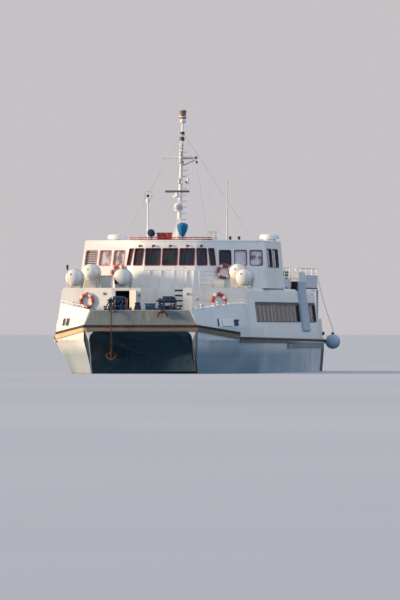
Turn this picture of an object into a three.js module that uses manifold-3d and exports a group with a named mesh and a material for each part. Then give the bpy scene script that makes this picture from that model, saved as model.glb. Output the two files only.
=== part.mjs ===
// Passenger ferry: a 27 m twin-hull fast ferry in welded aluminium. Two slender hulls carry a
// wet deck, a closed saloon, an upper house with the wheelhouse, and an open deck behind it.
//
// Millimetres, +Z up. The origin is on the centreline amidships at the waterline, the bow points
// towards -Y and the port side is +X. Lengths named "aft" run aft from the tunnel's mouth.

import * as THREE from 'three';
import { mergeVertices } from 'three/addons/utils/BufferGeometryUtils.js';
import Module from 'manifold-3d';

const wasm = await Module();
wasm.setup();

// Driving dimensions
const GAP = 0.3;
const PLATE = 60;
const LENGTH = 27000;
const KEEL_Z = -1200;
const MAIN_DECK_Z = 1650;
const FORE_DECK_Z = 2200;
const UPPER_DECK_Z = 4100;
const ROOF_Z = 6440;
const KNUCKLE_Z = 1750;
const BRIDGE_HALF = 1500;
const STEP_AFT = 6950;
const SALOON_FRONT = { aft: 3050, kneeX: 1950, sweep: 0.2 };
const SALOON_END_AFT = 25000;
const SIDE_LEAN = 0.1228;
const SHOULDER_Z = 3900;
const SHOULDER_R = 200;
const UPPER_REF_Z = 5600;
const UPPER_RAKE = 0.306;
const UPPER_LEAN = 0.0875;
const UPPER_END_AFT = 14900;

const fromBow = (aft) => aft - LENGTH / 2;
// The saloon's front is square to the keel in its middle and swept aft on either side
const frontAft = (x) => SALOON_FRONT.aft
  + SALOON_FRONT.sweep * Math.max(0, Math.abs(x) - SALOON_FRONT.kneeX);
const SIDES = { port: 1, starboard: -1 };

// Half-breadth of the shell at the knuckle: aft, half
const SIDE_PLAN = [
  [0, 2750], [1940, 4440], [3300, 4760], [5000, 4790], [9000, 4800],
  [15000, 4800], [21000, 4700], [27000, 4480],
];

// One hull's form: aft, water half-breadth, chine height, inner wall, inner wall at the chine,
// keel offset, keel height, tunnel roof, tunnel corner radius
const HULL_FORM = [
  [0, 2590, 450, 2500, 2520, 2555, KEEL_Z, 2050, 420],
  [1940, 3600, 150, 2120, 2430, 2850, KEEL_Z, 1850, 400],
  [4000, 4120, -50, 1760, 2230, 3020, KEEL_Z, 1450, 300],
  [7000, 4430, -220, 1660, 2050, 3150, KEEL_Z, 1120, 150],
  [12000, 4620, -300, 1650, 1980, 3200, KEEL_Z, 950, 120],
  [19000, 4620, -300, 1650, 1980, 3200, -1100, 950, 120],
  [22500, 4520, -270, 1660, 2000, 3170, -640, 950, 120],
  [24500, 4440, -200, 1680, 2020, 3140, -370, 950, 120],
  [27000, 4340, -130, 1700, 2050, 3100, -280, 950, 120],
];
const HULL_STATIONS = [
  0, 300, 700, 1250, 1940, 2600, 3300, 4200, 5500, STEP_AFT, 7000, 8500, 10500, 13000, 16000,
  18500, 20500, 22500, 24000, 25500, 27000,
];

// Colours as seen on the ship: colour, roughness, metalness
const FINISH = {
  white: [0xece8df, 0.45, 0.0],
  shell: [0xe6e4de, 0.5, 0.05],
  greyPlate: [0x60696f, 0.6, 0.1],
  stripe: [0x8a6a4a, 0.6, 0.0],
  glass: [0x33333f, 0.12, 0.0],
  navy: [0x213250, 0.5, 0.1],
  canister: [0xd9cbc0, 0.5, 0.0],
  orange: [0xd0562e, 0.6, 0.0],
  red: [0xa8615d, 0.6, 0.0],
  steel: [0x7d8488, 0.4, 0.8],
  rust: [0x5c3d30, 0.8, 0.3],
  bronze: [0x9a7340, 0.35, 0.9],
  trunk: [0x748396, 0.55, 0.1],
  fender: [0x8fa6bd, 0.5, 0.0],
  rope: [0xd8d2c4, 0.9, 0.0],
  seat: [0x2c4468, 0.8, 0.0],
  dark: [0x26282b, 0.6, 0.1],
};

const ferry = new THREE.Group();

function addNode(name, geometry, finish, group = ferry) {
  const [color, roughness, metalness] = FINISH[finish];
  const material = new THREE.MeshStandardMaterial({ color, roughness, metalness });
  const mesh = new THREE.Mesh(geometry, material);
  mesh.name = name;
  group.add(mesh);
  return mesh;
}

// Solids and cuts

function toSolid(geometry) {
  const bare = geometry.clone();
  bare.deleteAttribute('normal');
  bare.deleteAttribute('uv');
  const merged = mergeVertices(bare, 1e-3);
  return new wasm.Manifold(new wasm.Mesh({
    numProp: 3,
    vertProperties: new Float32Array(merged.attributes.position.array),
    triVerts: new Uint32Array(merged.index.array),
  }));
}

function toGeometry(solid) {
  const mesh = solid.getMesh();
  const geometry = new THREE.BufferGeometry();
  geometry.setAttribute('position', new THREE.BufferAttribute(mesh.vertProperties, 3));
  geometry.setIndex(new THREE.BufferAttribute(mesh.triVerts, 1));
  geometry.computeVertexNormals();
  return geometry;
}

function unite(pieces) {
  let solid = toSolid(pieces[0]);
  for (const piece of pieces.slice(1)) solid = solid.add(toSolid(piece));
  return toGeometry(solid);
}

function cut(piece, cutters) {
  let solid = toSolid(piece);
  for (const cutter of cutters) solid = solid.subtract(toSolid(cutter));
  return toGeometry(solid);
}

function moved(geometry, x, y, z) {
  return geometry.clone().translate(x, y, z);
}

// Basic shapes in the ship's frame

function block(x0, x1, y0, y1, z0, z1) {
  const box = new THREE.BoxGeometry(Math.abs(x1 - x0), Math.abs(y1 - y0), Math.abs(z1 - z0));
  return box.translate((x0 + x1) / 2, (y0 + y1) / 2, (z0 + z1) / 2);
}

function rod(from, to, radius, endRadius = radius, sides = 10) {
  const a = new THREE.Vector3(...from);
  const b = new THREE.Vector3(...to);
  const axis = b.clone().sub(a);
  const tube = new THREE.CylinderGeometry(endRadius, radius, axis.length(), sides);
  const turn = new THREE.Quaternion().setFromUnitVectors(
    new THREE.Vector3(0, 1, 0), axis.clone().normalize());
  tube.applyQuaternion(turn);
  return tube.translate((a.x + b.x) / 2, (a.y + b.y) / 2, (a.z + b.z) / 2);
}

// A turned solid about Z: radius and height pairs from the axis back to the axis
function turned(profile, sides = 16) {
  const points = profile.map(([radius, height]) => new THREE.Vector2(radius, height));
  return new THREE.LatheGeometry(points, sides).rotateX(Math.PI / 2);
}

// The faces that close a ring, in the ring's own order. A wall's ring runs along its outside and
// back along its inside, so its two sides are joined across; other rings are cut into ears
function capFaces(ring, flat) {
  const count = ring.length;
  if (!flat) {
    return Array.from({ length: count / 2 - 1 }, (_, i) => [
      [i, i + 1, count - 2 - i], [i, count - 2 - i, count - 1 - i]]).flat();
  }
  const contour = ring.map((point) => new THREE.Vector2(...flat(point)));
  const want = Math.sign(THREE.ShapeUtils.area(contour));
  return THREE.ShapeUtils.triangulateShape(contour.slice(), []).map(([a, b, c]) => {
    const turn = Math.sign(THREE.ShapeUtils.area([contour[a], contour[b], contour[c]]));
    return turn === want ? [a, b, c] : [a, c, b];
  });
}

// A closed skin over rings of equal point count, capped at both ends
function loft(rings, flat = ([x, , z]) => [x, z]) {
  const count = rings[0].length;
  const index = [];
  for (let ring = 0; ring + 1 < rings.length; ring += 1) {
    for (let i = 0; i < count; i += 1) {
      const a = ring * count + i;
      const b = ring * count + ((i + 1) % count);
      index.push(a, b, b + count, a, b + count, a + count);
    }
  }
  const last = rings.length - 1;
  capFaces(rings[0], flat).forEach(([a, b, c]) => index.push(a, c, b));
  capFaces(rings[last], flat).forEach(
    (face) => index.push(...face.map((corner) => last * count + corner)));
  const geometry = new THREE.BufferGeometry();
  geometry.setAttribute('position', new THREE.Float32BufferAttribute(rings.flat(2), 3));
  geometry.setIndex(index);
  return facingOut(geometry);
}

// Caps and sides have to agree; the whole skin is then turned so that its volume is positive
function facingOut(geometry) {
  const at = geometry.attributes.position;
  const index = geometry.index.array;
  const corner = (i) => new THREE.Vector3().fromBufferAttribute(at, index[i]);
  let volume = 0;
  for (let i = 0; i < index.length; i += 3) {
    volume += corner(i).dot(corner(i + 1).cross(corner(i + 2)));
  }
  if (volume < 0) {
    for (let i = 0; i < index.length; i += 3) {
      [index[i + 1], index[i + 2]] = [index[i + 2], index[i + 1]];
    }
  }
  return geometry;
}

// A flat outline pushed along one axis: "x" takes (y, z) points, "y" (x, z) and "z" (x, y)
function prism(outline, axis, low, high) {
  const place = {
    x: (level) => outline.map(([y, z]) => [level, y, z]),
    y: (level) => outline.map(([x, z]) => [x, level, z]),
    z: (level) => outline.map(([x, y]) => [x, y, level]),
  }[axis];
  const flat = {
    x: ([, y, z]) => [y, z],
    y: ([x, , z]) => [x, z],
    z: ([x, y]) => [x, y],
  }[axis];
  return loft([place(low), place(high)], flat);
}

// Tables along the ship

function linearAt(table, aft, column = 1) {
  const last = table.findIndex((row) => row[0] >= aft);
  if (last <= 0) return table[last === 0 ? 0 : table.length - 1][column];
  const [low, high] = [table[last - 1], table[last]];
  const t = (aft - low[0]) / (high[0] - low[0]);
  return low[column] + t * (high[column] - low[column]);
}

function smoothAt(table, aft, column) {
  const i = Math.max(1, table.findIndex((row) => row[0] >= aft));
  const [low, high] = [table[i - 1], table[i]];
  const slope = (j) => {
    const before = table[Math.max(0, j - 1)];
    const after = table[Math.min(table.length - 1, j + 1)];
    return (after[column] - before[column]) / (after[0] - before[0]);
  };
  const span = high[0] - low[0];
  const t = (aft - low[0]) / span;
  const t2 = t * t;
  const t3 = t2 * t;
  return low[column] * (2 * t3 - 3 * t2 + 1) + high[column] * (3 * t2 - 2 * t3)
    + span * (slope(i - 1) * (t3 - 2 * t2 + t) + slope(i) * (t3 - t2));
}

const shellHalf = (aft) => linearAt(SIDE_PLAN, aft);
const deckZAt = (aft) => (aft <= STEP_AFT ? FORE_DECK_Z : MAIN_DECK_Z);

// Half-breadth of the leaning side above the knuckle
function sideHalf(aft, z) {
  const lean = THREE.MathUtils.clamp((aft - 1940) / (3300 - 1940), 0, 1) * SIDE_LEAN;
  return shellHalf(aft) - lean * Math.max(0, z - KNUCKLE_Z);
}

// Hulls

const STEM_TOP_Z = 1600;
const STEM_RAKE = 0.6;
const FOREFOOT_CURVE = 0.35e-3;
const RAKE_FADE_AFT = 8000;

// The stem slopes aft as it goes down, and the slope dies out along the hull
function stemShift(aft, z) {
  const fade = Math.max(0, 1 - aft / RAKE_FADE_AFT) ** 2;
  const straight = STEM_RAKE * Math.max(0, STEM_TOP_Z - z);
  return fade * (straight + FOREFOOT_CURVE * Math.min(0, z) ** 2);
}

const KEEL_BAR_HALF = 60;
const INNER_KNEE_Z = 700;
const CORNER_STEPS = 3;

function hullSection(aft) {
  const form = (column) => smoothAt(HULL_FORM, aft, column);
  const [water, chineZ, inner, innerChine, keel, keelZ, roofZ, corner] =
    [1, 2, 3, 4, 5, 6, 7, 8].map(form);
  const radius = Math.min(corner, inner - BRIDGE_HALF - 10);
  const deckZ = deckZAt(aft);
  const side = shellHalf(aft);
  const bilgeZ = chineZ - 0.7 * (chineZ - keelZ);
  const outline = [
    [BRIDGE_HALF, deckZ],
    [sideHalf(aft, deckZ), deckZ],
    [side, Math.min(KNUCKLE_Z - 10, deckZ - 10)],
    [side, STEM_TOP_Z],
    [(side + water) / 2, (STEM_TOP_Z + chineZ) / 2],
    [water, chineZ],
    [keel + 0.5 * (water - keel), bilgeZ],
    [keel + Math.min(KEEL_BAR_HALF, (water - keel) * 0.6), keelZ],
    [keel - Math.min(KEEL_BAR_HALF, (keel - innerChine) * 0.6), keelZ],
    [keel - 0.5 * (keel - innerChine), bilgeZ],
    [innerChine, chineZ],
    [inner, INNER_KNEE_Z],
  ];
  for (let step = 0; step <= CORNER_STEPS; step += 1) {
    const angle = (step / CORNER_STEPS) * Math.PI / 2;
    outline.push([
      inner - radius + radius * Math.cos(angle), roofZ - radius + radius * Math.sin(angle)]);
  }
  outline.push([BRIDGE_HALF, roofZ]);
  return outline;
}

// Engine block inside each hull, in a well that is open to the saloon above
const ENGINE = { half: 500, x: 3200, aft: 18900, length: 2500, floorZ: 60, height: 1250 };
const WELL_MARGIN = 110;
const SHAFT = { x: 3140, z: -800, radius: 45, endAft: 24950, startAft: 21200 };
const BRACKET = { aft: 24480, length: 260, radius: 95, armHalf: 22 };
const RUNNING_GAP = 5;
const BORE_SIDES = 16;
const boreFor = (shaftRadius) => (shaftRadius + GAP) / Math.cos(Math.PI / BORE_SIDES);
const STOCK = { aft: 26150, radius: 40, topZ: 40 };
const AFT_BULWARK = { from: SALOON_END_AFT + 100, to: 26500, topZ: 2650 };
const BITT = { radius: 75, height: 420, apart: 420 };

function bittPair(x, y, z, alongX) {
  const pieces = [];
  const [dx, dy] = alongX ? [BITT.apart / 2, 0] : [0, BITT.apart / 2];
  pieces.push(block(x - dx - 110, x + dx + 110, y - dy - 110, y + dy + 110, z - 20, z + 25));
  for (const end of [-1, 1]) {
    const foot = [x + end * dx, y + end * dy];
    pieces.push(rod([...foot, z - 20], [...foot, z + BITT.height - 50], BITT.radius,
      BITT.radius, 8));
    pieces.push(rod([...foot, z + BITT.height - 60], [...foot, z + BITT.height],
      BITT.radius + 25, BITT.radius + 25, 8));
  }
  return pieces;
}

function hull(side) {
  const rings = HULL_STATIONS.map((aft) => hullSection(aft).map(
    ([x, z]) => [side * x, fromBow(aft) + stemShift(aft, z), z]));
  const shaftX = side * SHAFT.x;
  const bracketY = fromBow(BRACKET.aft);
  const bulwarkX = (aft) => side * (shellHalf(aft) - 1);
  const bulwark = loft([AFT_BULWARK.from, AFT_BULWARK.to].map((aft) => [
    [bulwarkX(aft), fromBow(aft), MAIN_DECK_Z - 30],
    [bulwarkX(aft) - side * 90, fromBow(aft), AFT_BULWARK.topZ],
    [bulwarkX(aft) - side * 150, fromBow(aft), AFT_BULWARK.topZ],
    [bulwarkX(aft) - side * 60, fromBow(aft), MAIN_DECK_Z - 30],
  ]));
  const arm = prism([
    [bracketY - 70, SHAFT.z], [bracketY + BRACKET.length - 40, SHAFT.z],
    [bracketY + BRACKET.length, -300], [bracketY - 110, -300],
  ], 'x', shaftX - BRACKET.armHalf, shaftX + BRACKET.armHalf);
  const body = unite([
    loft(rings), bulwark, arm,
    rod([shaftX, bracketY - 60, SHAFT.z], [shaftX, bracketY + BRACKET.length, SHAFT.z],
      BRACKET.radius, BRACKET.radius, 16),
    ...bittPair(side * 3700, fromBow(26300), MAIN_DECK_Z, false),
    ...bittPair(side * 2950, fromBow(1750), FORE_DECK_Z, true),
  ]);
  const engineX = side * ENGINE.x;
  const wellHalf = ENGINE.half + WELL_MARGIN;
  const well = block(engineX - wellHalf, engineX + wellHalf,
    fromBow(ENGINE.aft - WELL_MARGIN), fromBow(ENGINE.aft + ENGINE.length + WELL_MARGIN),
    ENGINE.floorZ, MAIN_DECK_Z + 100);
  const bore = boreFor(SHAFT.radius);
  const sternTube = rod([shaftX, fromBow(SHAFT.startAft) - 400, SHAFT.z],
    [shaftX, fromBow(SHAFT.endAft) + 200, SHAFT.z], bore, bore, BORE_SIDES);
  const stockBore = rod([shaftX, fromBow(STOCK.aft), -600],
    [shaftX, fromBow(STOCK.aft), STOCK.topZ + RUNNING_GAP], boreFor(STOCK.radius),
    boreFor(STOCK.radius), BORE_SIDES);
  return cut(body, [well, sternTube, stockBore]);
}

for (const [name, side] of Object.entries(SIDES)) {
  addNode(`hull_${name}`, hull(side), 'shell');
  addNode(`engine_${name}`, block(
    side * ENGINE.x - ENGINE.half, side * ENGINE.x + ENGINE.half,
    fromBow(ENGINE.aft), fromBow(ENGINE.aft + ENGINE.length),
    ENGINE.floorZ + GAP, ENGINE.floorZ + GAP + ENGINE.height), 'steel');
}

// Bridge deck between the hulls: the tunnel's roof below, the fore and main decks above

const roofLine = [...HULL_STATIONS].reverse().map(
  (aft) => [fromBow(aft), smoothAt(HULL_FORM, aft, 7)]);
const bollard = turned([[0, -10], [240, -10], [170, 330], [200, 420], [0, 420]]);
addNode('bridge_deck', unite([
  prism([
    [fromBow(0), FORE_DECK_Z], [fromBow(STEP_AFT), FORE_DECK_Z],
    [fromBow(7000), MAIN_DECK_Z], [fromBow(LENGTH), MAIN_DECK_Z], ...roofLine,
  ], 'x', -BRIDGE_HALF + GAP, BRIDGE_HALF - GAP),
  moved(bollard, -250, fromBow(1100), FORE_DECK_Z),
]), 'shell');

// Plates and bands that follow a line in plan

function offsetLine(points, distance) {
  const normals = points.slice(1).map(([x, y], i) => {
    const [dx, dy] = [x - points[i][0], y - points[i][1]];
    const length = Math.hypot(dx, dy);
    return [-dy / length, dx / length];
  });
  return points.map(([x, y], i) => {
    const before = normals[Math.max(0, i - 1)];
    const after = normals[Math.min(normals.length - 1, i)];
    const reach = distance / (1 + before[0] * after[0] + before[1] * after[1]);
    return [x + (before[0] + after[0]) * reach, y + (before[1] + after[1]) * reach];
  });
}

// A plate between an outer and an inner offset of a path. Each level is a list of x, y, z
function plate(levels, outer, inner) {
  const shifted = (level, distance) => offsetLine(level, distance).map(
    ([x, y], i) => [x, y, level[i][2]]);
  const outside = levels.map((level) => shifted(level, outer));
  const inside = levels.map((level) => shifted(level, inner)).reverse();
  const rings = levels[0].map((_, corner) => [...outside, ...inside].map((row) => row[corner]));
  return loft(rings, null);
}

// Bow bulwark: grey front plate leaning forward, shoulders leaning in, side stubs to the house.
// Port half from the centre outwards: foot x, foot aft, head x, head aft, head z
const BULWARK_PLAN = [
  [2750, 0, 2460, -140, 3000],
  [4440, 1940, 4190, 2060, 3300],
  [4705, 3550, 4570, 3530, 3300],
];
const BULWARK_KNEE_Z = 2320;
const BULWARK = 60;
const MOORING_PORT = { from: 0.48, to: 0.95, low: 2235, high: 2650 };

function acrossBow(half) {
  const starboard = [...half].reverse().map(([x, ...rest]) => [-x, ...rest]);
  return [...starboard, ...half];
}

const feet = acrossBow(BULWARK_PLAN.map(([x, aft]) => [x, fromBow(aft)]));
const heads = acrossBow(BULWARK_PLAN.map(([, , x, aft, z]) => [x, fromBow(aft), z]));
const bulwarkSkin = plate([
  feet.map(([x, y]) => [x, y, FORE_DECK_Z + GAP]),
  feet.map(([x, y]) => [x, y, BULWARK_KNEE_Z]),
  heads,
], 0, BULWARK);

function shoulderCutter(side) {
  const [[x0, aft0], [x1, aft1]] = BULWARK_PLAN;
  const run = Math.hypot(x1 - x0, aft1 - aft0);
  const middle = (MOORING_PORT.from + MOORING_PORT.to) / 2;
  const opening = new THREE.BoxGeometry(
    run * (MOORING_PORT.to - MOORING_PORT.from), 900, MOORING_PORT.high - MOORING_PORT.low);
  opening.rotateZ(side * Math.atan2(aft1 - aft0, x1 - x0));
  return opening.translate(side * (x0 + (x1 - x0) * middle), fromBow((aft1 - aft0) * middle),
    (MOORING_PORT.low + MOORING_PORT.high) / 2);
}

const ANCHOR_X = { starboard: -1360, port: 1100 };
const bowRoller = (x) => block(x - 110, x + 110, fromBow(0) - 200, fromBow(0) - 60, 2940, 3050);
addNode('bow_bulwark', unite([
  cut(bulwarkSkin, [shoulderCutter(1), shoulderCutter(-1)]),
  bowRoller(ANCHOR_X.starboard),
]), 'greyPlate');

// Rub rails stand proud of the shell: a path with its lower and upper edge
const RAIL_PROUD = 60;
const BOW_RAIL = [[2750, 0, 2020, 2320], [4440, 1940, 1640, 1980]];
const SIDE_RAIL_ENDS = { startAft: 1945, low: [1500, 1400], high: [1750, 1600] };
const LOWER_FENDER = { from: 13800, to: 26500, low: 1210, high: 1350, proud: 45 };

const bowRailPath = acrossBow(BOW_RAIL.map(([x, aft, low, high]) => [x, fromBow(aft), low, high]));
addNode('bow_rub_rail', plate([
  bowRailPath.map(([x, y, low]) => [x, y, low]),
  bowRailPath.map(([x, y, , high]) => [x, y, high]),
], -GAP - RAIL_PROUD, -GAP), 'stripe');

function sideBand(side, from, to, lowAt, highAt, proud) {
  const inner = SIDE_PLAN.map(([aft]) => aft).filter((aft) => aft > from && aft < to);
  const rings = [from, ...inner, to].map((aft) => {
    const x = shellHalf(aft) + GAP;
    return [[x, lowAt(aft)], [x + proud, lowAt(aft)], [x + proud, highAt(aft)], [x, highAt(aft)]]
      .map(([half, z]) => [side * half, fromBow(aft), z]);
  });
  return loft(rings);
}

for (const [name, side] of Object.entries(SIDES)) {
  const { startAft, low, high } = SIDE_RAIL_ENDS;
  const along = (ends) => (aft) => ends[0]
    + (ends[1] - ends[0]) * (aft - startAft) / (LENGTH - startAft);
  const { from, to, proud } = LOWER_FENDER;
  addNode(`rub_rail_${name}`, unite([
    sideBand(side, startAft, LENGTH, along(low), along(high), RAIL_PROUD),
    sideBand(side, from, to, () => LOWER_FENDER.low, () => LOWER_FENDER.high, proud),
    sideBand(side, from, to, () => LOWER_FENDER.high - 20, () => 1500, 15),
  ]), 'stripe');
}

// Saloon: the leaning sides with a rounded shoulder, the front with its recess, the aft bulkhead

const RECESS = { starboardX: -550, portX: 1500, backAft: 6810, backHeadAft: 7391 };
const FORE_DOOR = { x0: -1780, x1: -1100, low: 2330, high: 3950 };
const AFT_DOOR = { half: 400, low: 1800, high: 3850 };
const UPPER_DOOR = { low: 4220, high: 6150 };
const SALOON_WINDOWS = { low: 2500, high: 3400, spans: [[5400, 18600], [21500, 24500]] };
const WALL_STATIONS = [5000, STEP_AFT, 7000, 9000, 12000, 15000, 18000, 21000];
const ARC_STEPS = 4;

const FRONT_CORNER_AFT = 3620;

// From the foot up the leaning side and over the rounded shoulder to the deck's edge
function houseProfile(aft, footZ, inset) {
  const shoulderX = sideHalf(aft, SHOULDER_Z);
  const kneeZ = Math.max(KNUCKLE_Z, footZ + 10);
  const points = [[sideHalf(aft, footZ) - inset, footZ], [sideHalf(aft, kneeZ) - inset, kneeZ]];
  for (let step = 0; step <= ARC_STEPS; step += 1) {
    const angle = (step / ARC_STEPS) * Math.PI / 2;
    const radius = SHOULDER_R - inset;
    points.push([shoulderX - SHOULDER_R + radius * Math.cos(angle),
      SHOULDER_Z + radius * Math.sin(angle)]);
  }
  return points;
}

function saloonSide(side) {
  const stations = [FRONT_CORNER_AFT, ...WALL_STATIONS, SALOON_END_AFT];
  const wall = loft(stations.map((aft, i) => {
    const footZ = deckZAt(aft) + GAP;
    const ring = [...houseProfile(aft, footZ, 0), ...houseProfile(aft, footZ, PLATE).reverse()];
    return ring.map(([x, z]) => [
      side * x, fromBow(i === 0 ? frontAft(x) + PLATE + GAP : aft), z]);
  }), null);
  const openings = SALOON_WINDOWS.spans.map(([from, to]) => block(side * 4000, side * 5200,
    fromBow(from), fromBow(to), SALOON_WINDOWS.low, SALOON_WINDOWS.high));
  return cut(wall, openings);
}

const GLASS = 12;
const GLASS_LAP = 60;

function saloonGlass(side) {
  const [low, high] = [SALOON_WINDOWS.low - GLASS_LAP, SALOON_WINDOWS.high + GLASS_LAP];
  const stations = [5300, 9000, 15000, 21000, 24600];
  return loft(stations.map((aft) => [[low, 0], [high, 0], [high, GLASS], [low, GLASS]].map(
    ([z, inset]) => [side * (sideHalf(aft, z) - PLATE - GAP * 2 - inset), fromBow(aft), z])));
}

for (const [name, side] of Object.entries(SIDES)) {
  addNode(`saloon_side_${name}`, saloonSide(side), 'white');
  addNode(`saloon_glass_${name}`, saloonGlass(side), 'glass');
}

// A door leaf on its hinge axis, lying along +X, with a knuckle over each lug of the wall
const LEAF = { thick: 40, lap: 30 };
const HINGE = { stand: 30, radius: 22, knuckle: 120, lug: 50, inset: 170, notch: 42 };
const FORE_HINGE = { x: -1075, y: fromBow(SALOON_FRONT.aft) - HINGE.stand, openTurn: 125 };
const AFT_HINGE_X = 430;

const knuckleFeet = (low, high) => [low + HINGE.inset, high - HINGE.inset - HINGE.knuckle];

function doorLeaf(width, low, high) {
  const feet = knuckleFeet(low, high);
  const leaf = unite([
    block(0, width, -LEAF.thick / 2, LEAF.thick / 2, low - LEAF.lap, high + LEAF.lap),
    ...feet.map((z) => rod([0, 0, z - 1], [0, 0, z + HINGE.knuckle], HINGE.radius,
      HINGE.radius, 8)),
    rod([width - 90, -60, (low + high) / 2], [width - 90, 60, (low + high) / 2], 16, 16, 8),
  ]);
  return cut(leaf, feet.map((z) => block(-HINGE.notch, HINGE.notch, -60, 60,
    z - HINGE.lug - RUNNING_GAP, z)));
}

// The wall's lugs that a door's knuckles stand on
function hingeLugs(x, axisY, wallY, low, high) {
  const [front, back] = [Math.min(axisY, wallY), Math.max(axisY, wallY)];
  return knuckleFeet(low, high).flatMap((z) => [
    rod([x, axisY, z - HINGE.lug], [x, axisY, z - GAP], HINGE.radius, HINGE.radius, 8),
    block(x - 15, x + 15, front, back, z - HINGE.lug, z - GAP),
  ]);
}

function saloonFront() {
  const footZ = FORE_DECK_Z + GAP;
  const [front, back] = [fromBow(SALOON_FRONT.aft), fromBow(SALOON_FRONT.aft + PLATE)];
  const { kneeX } = SALOON_FRONT;
  const profile = houseProfile(FRONT_CORNER_AFT, footZ, 0);
  const wing = (side) => prism([[side * kneeX, footZ], ...profile.map(([x, z]) => [side * x, z]),
    [side * kneeX, UPPER_DECK_Z]], 'y', front, back);
  const swept = [1, -1].map((side) => {
    const piece = wing(side);
    const place = piece.getAttribute('position');
    for (let i = 0; i < place.count; i += 1) {
      place.setY(i, place.getY(i) + frontAft(place.getX(i)) - SALOON_FRONT.aft);
    }
    return piece;
  });
  const wallEnd = fromBow(RECESS.backHeadAft + PLATE);
  const backWall = prism([
    [fromBow(RECESS.backAft), footZ], [fromBow(RECESS.backAft) + PLATE, footZ],
    [wallEnd, UPPER_DECK_Z], [wallEnd - PLATE, UPPER_DECK_Z],
  ], 'x', RECESS.starboardX - PLATE, RECESS.portX + PLATE);
  const sideWall = (x0, x1) => prism([
    [front, footZ], [fromBow(RECESS.backAft) + PLATE, footZ], [wallEnd, UPPER_DECK_Z],
    [front, UPPER_DECK_Z],
  ], 'x', x0, x1);
  const walls = unite([
    ...swept, backWall,
    block(RECESS.portX, kneeX + 5, front, back, footZ, UPPER_DECK_Z),
    block(-kneeX - 5, RECESS.starboardX, front, back, footZ, UPPER_DECK_Z),
    sideWall(RECESS.starboardX - PLATE, RECESS.starboardX),
    sideWall(RECESS.portX, RECESS.portX + PLATE),
    ...hingeLugs(FORE_HINGE.x, FORE_HINGE.y, front + 20, FORE_DOOR.low, FORE_DOOR.high),
  ]);
  const { x0, x1, low, high } = FORE_DOOR;
  return cut(walls, [block(x0, x1, front - 100, back + 100, low, high)]);
}

addNode('saloon_front', saloonFront(), 'white');

function aftBulkhead() {
  const [front, back] = [SALOON_END_AFT + GAP, SALOON_END_AFT + PLATE].map(fromBow);
  const [footZ, headZ] = [MAIN_DECK_Z + GAP, UPPER_DECK_Z - PLATE - GAP];
  const half = [[sideHalf(SALOON_END_AFT + PLATE, footZ), footZ],
    [sideHalf(SALOON_END_AFT + PLATE, headZ), headZ]];
  const outline = [...half, ...half.map(([x, z]) => [-x, z]).reverse()];
  const windows = [-2400, 1000].map((x) => block(x, x + 1400, front - 50, back + 50, 2500, 3400));
  const wall = unite([prism(outline, 'y', front, back), ...hingeLugs(AFT_HINGE_X,
    back + HINGE.stand, back - 20, AFT_DOOR.low, AFT_DOOR.high)]);
  return cut(wall, [
    block(-AFT_DOOR.half, AFT_DOOR.half, front - 50, back + 50, AFT_DOOR.low, AFT_DOOR.high),
    ...windows]);
}

addNode('saloon_aft_bulkhead', aftBulkhead(), 'white');

// Rows of seats on floor rails, seen through the glass
const SEAT = { depth: 450, back: 90, seatHigh: 430, backHigh: 1050, pitch: 1000 };

function seatRows(rows, halves, floorZ) {
  const pieces = rows.flatMap((aft) => halves.map(([x0, x1]) => prism([
    [fromBow(aft), floorZ + 30], [fromBow(aft) + SEAT.depth + SEAT.back, floorZ + 30],
    [fromBow(aft) + SEAT.depth + SEAT.back + 120, floorZ + SEAT.backHigh],
    [fromBow(aft) + SEAT.depth + 40, floorZ + SEAT.backHigh],
    [fromBow(aft) + SEAT.depth, floorZ + SEAT.seatHigh], [fromBow(aft), floorZ + SEAT.seatHigh],
  ], 'x', x0, x1)));
  const [first, last] = [fromBow(rows[0]), fromBow(rows[rows.length - 1]) + SEAT.depth];
  const crossbar = block(-1 + Math.min(...halves.flat()), 1 + Math.max(...halves.flat()),
    first + 100, first + 200, floorZ + GAP, floorZ + 60);
  const rails = halves.map(([x0, x1]) => block((x0 + x1) / 2 - 60, (x0 + x1) / 2 + 60,
    first, last, floorZ + GAP, floorZ + 60));
  return unite([crossbar, ...rails, ...pieces]);
}

const rowsFrom = (aft, count) => Array.from({ length: count }, (_, i) => aft + i * SEAT.pitch);
addNode('saloon_seats', seatRows(rowsFrom(8300, 8), [[-1900, -500], [500, 1900]],
  MAIN_DECK_Z), 'seat');

// Upper deck: one slab let in between the shoulders, notched round the recess, with the stairs
const STAIRS = { x0: -2700, x1: -1900, headAft: 25150, footAft: 26650, treads: 9 };
const DECK_POST = { x: 4150, aft: 26800, half: 50 };

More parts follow.
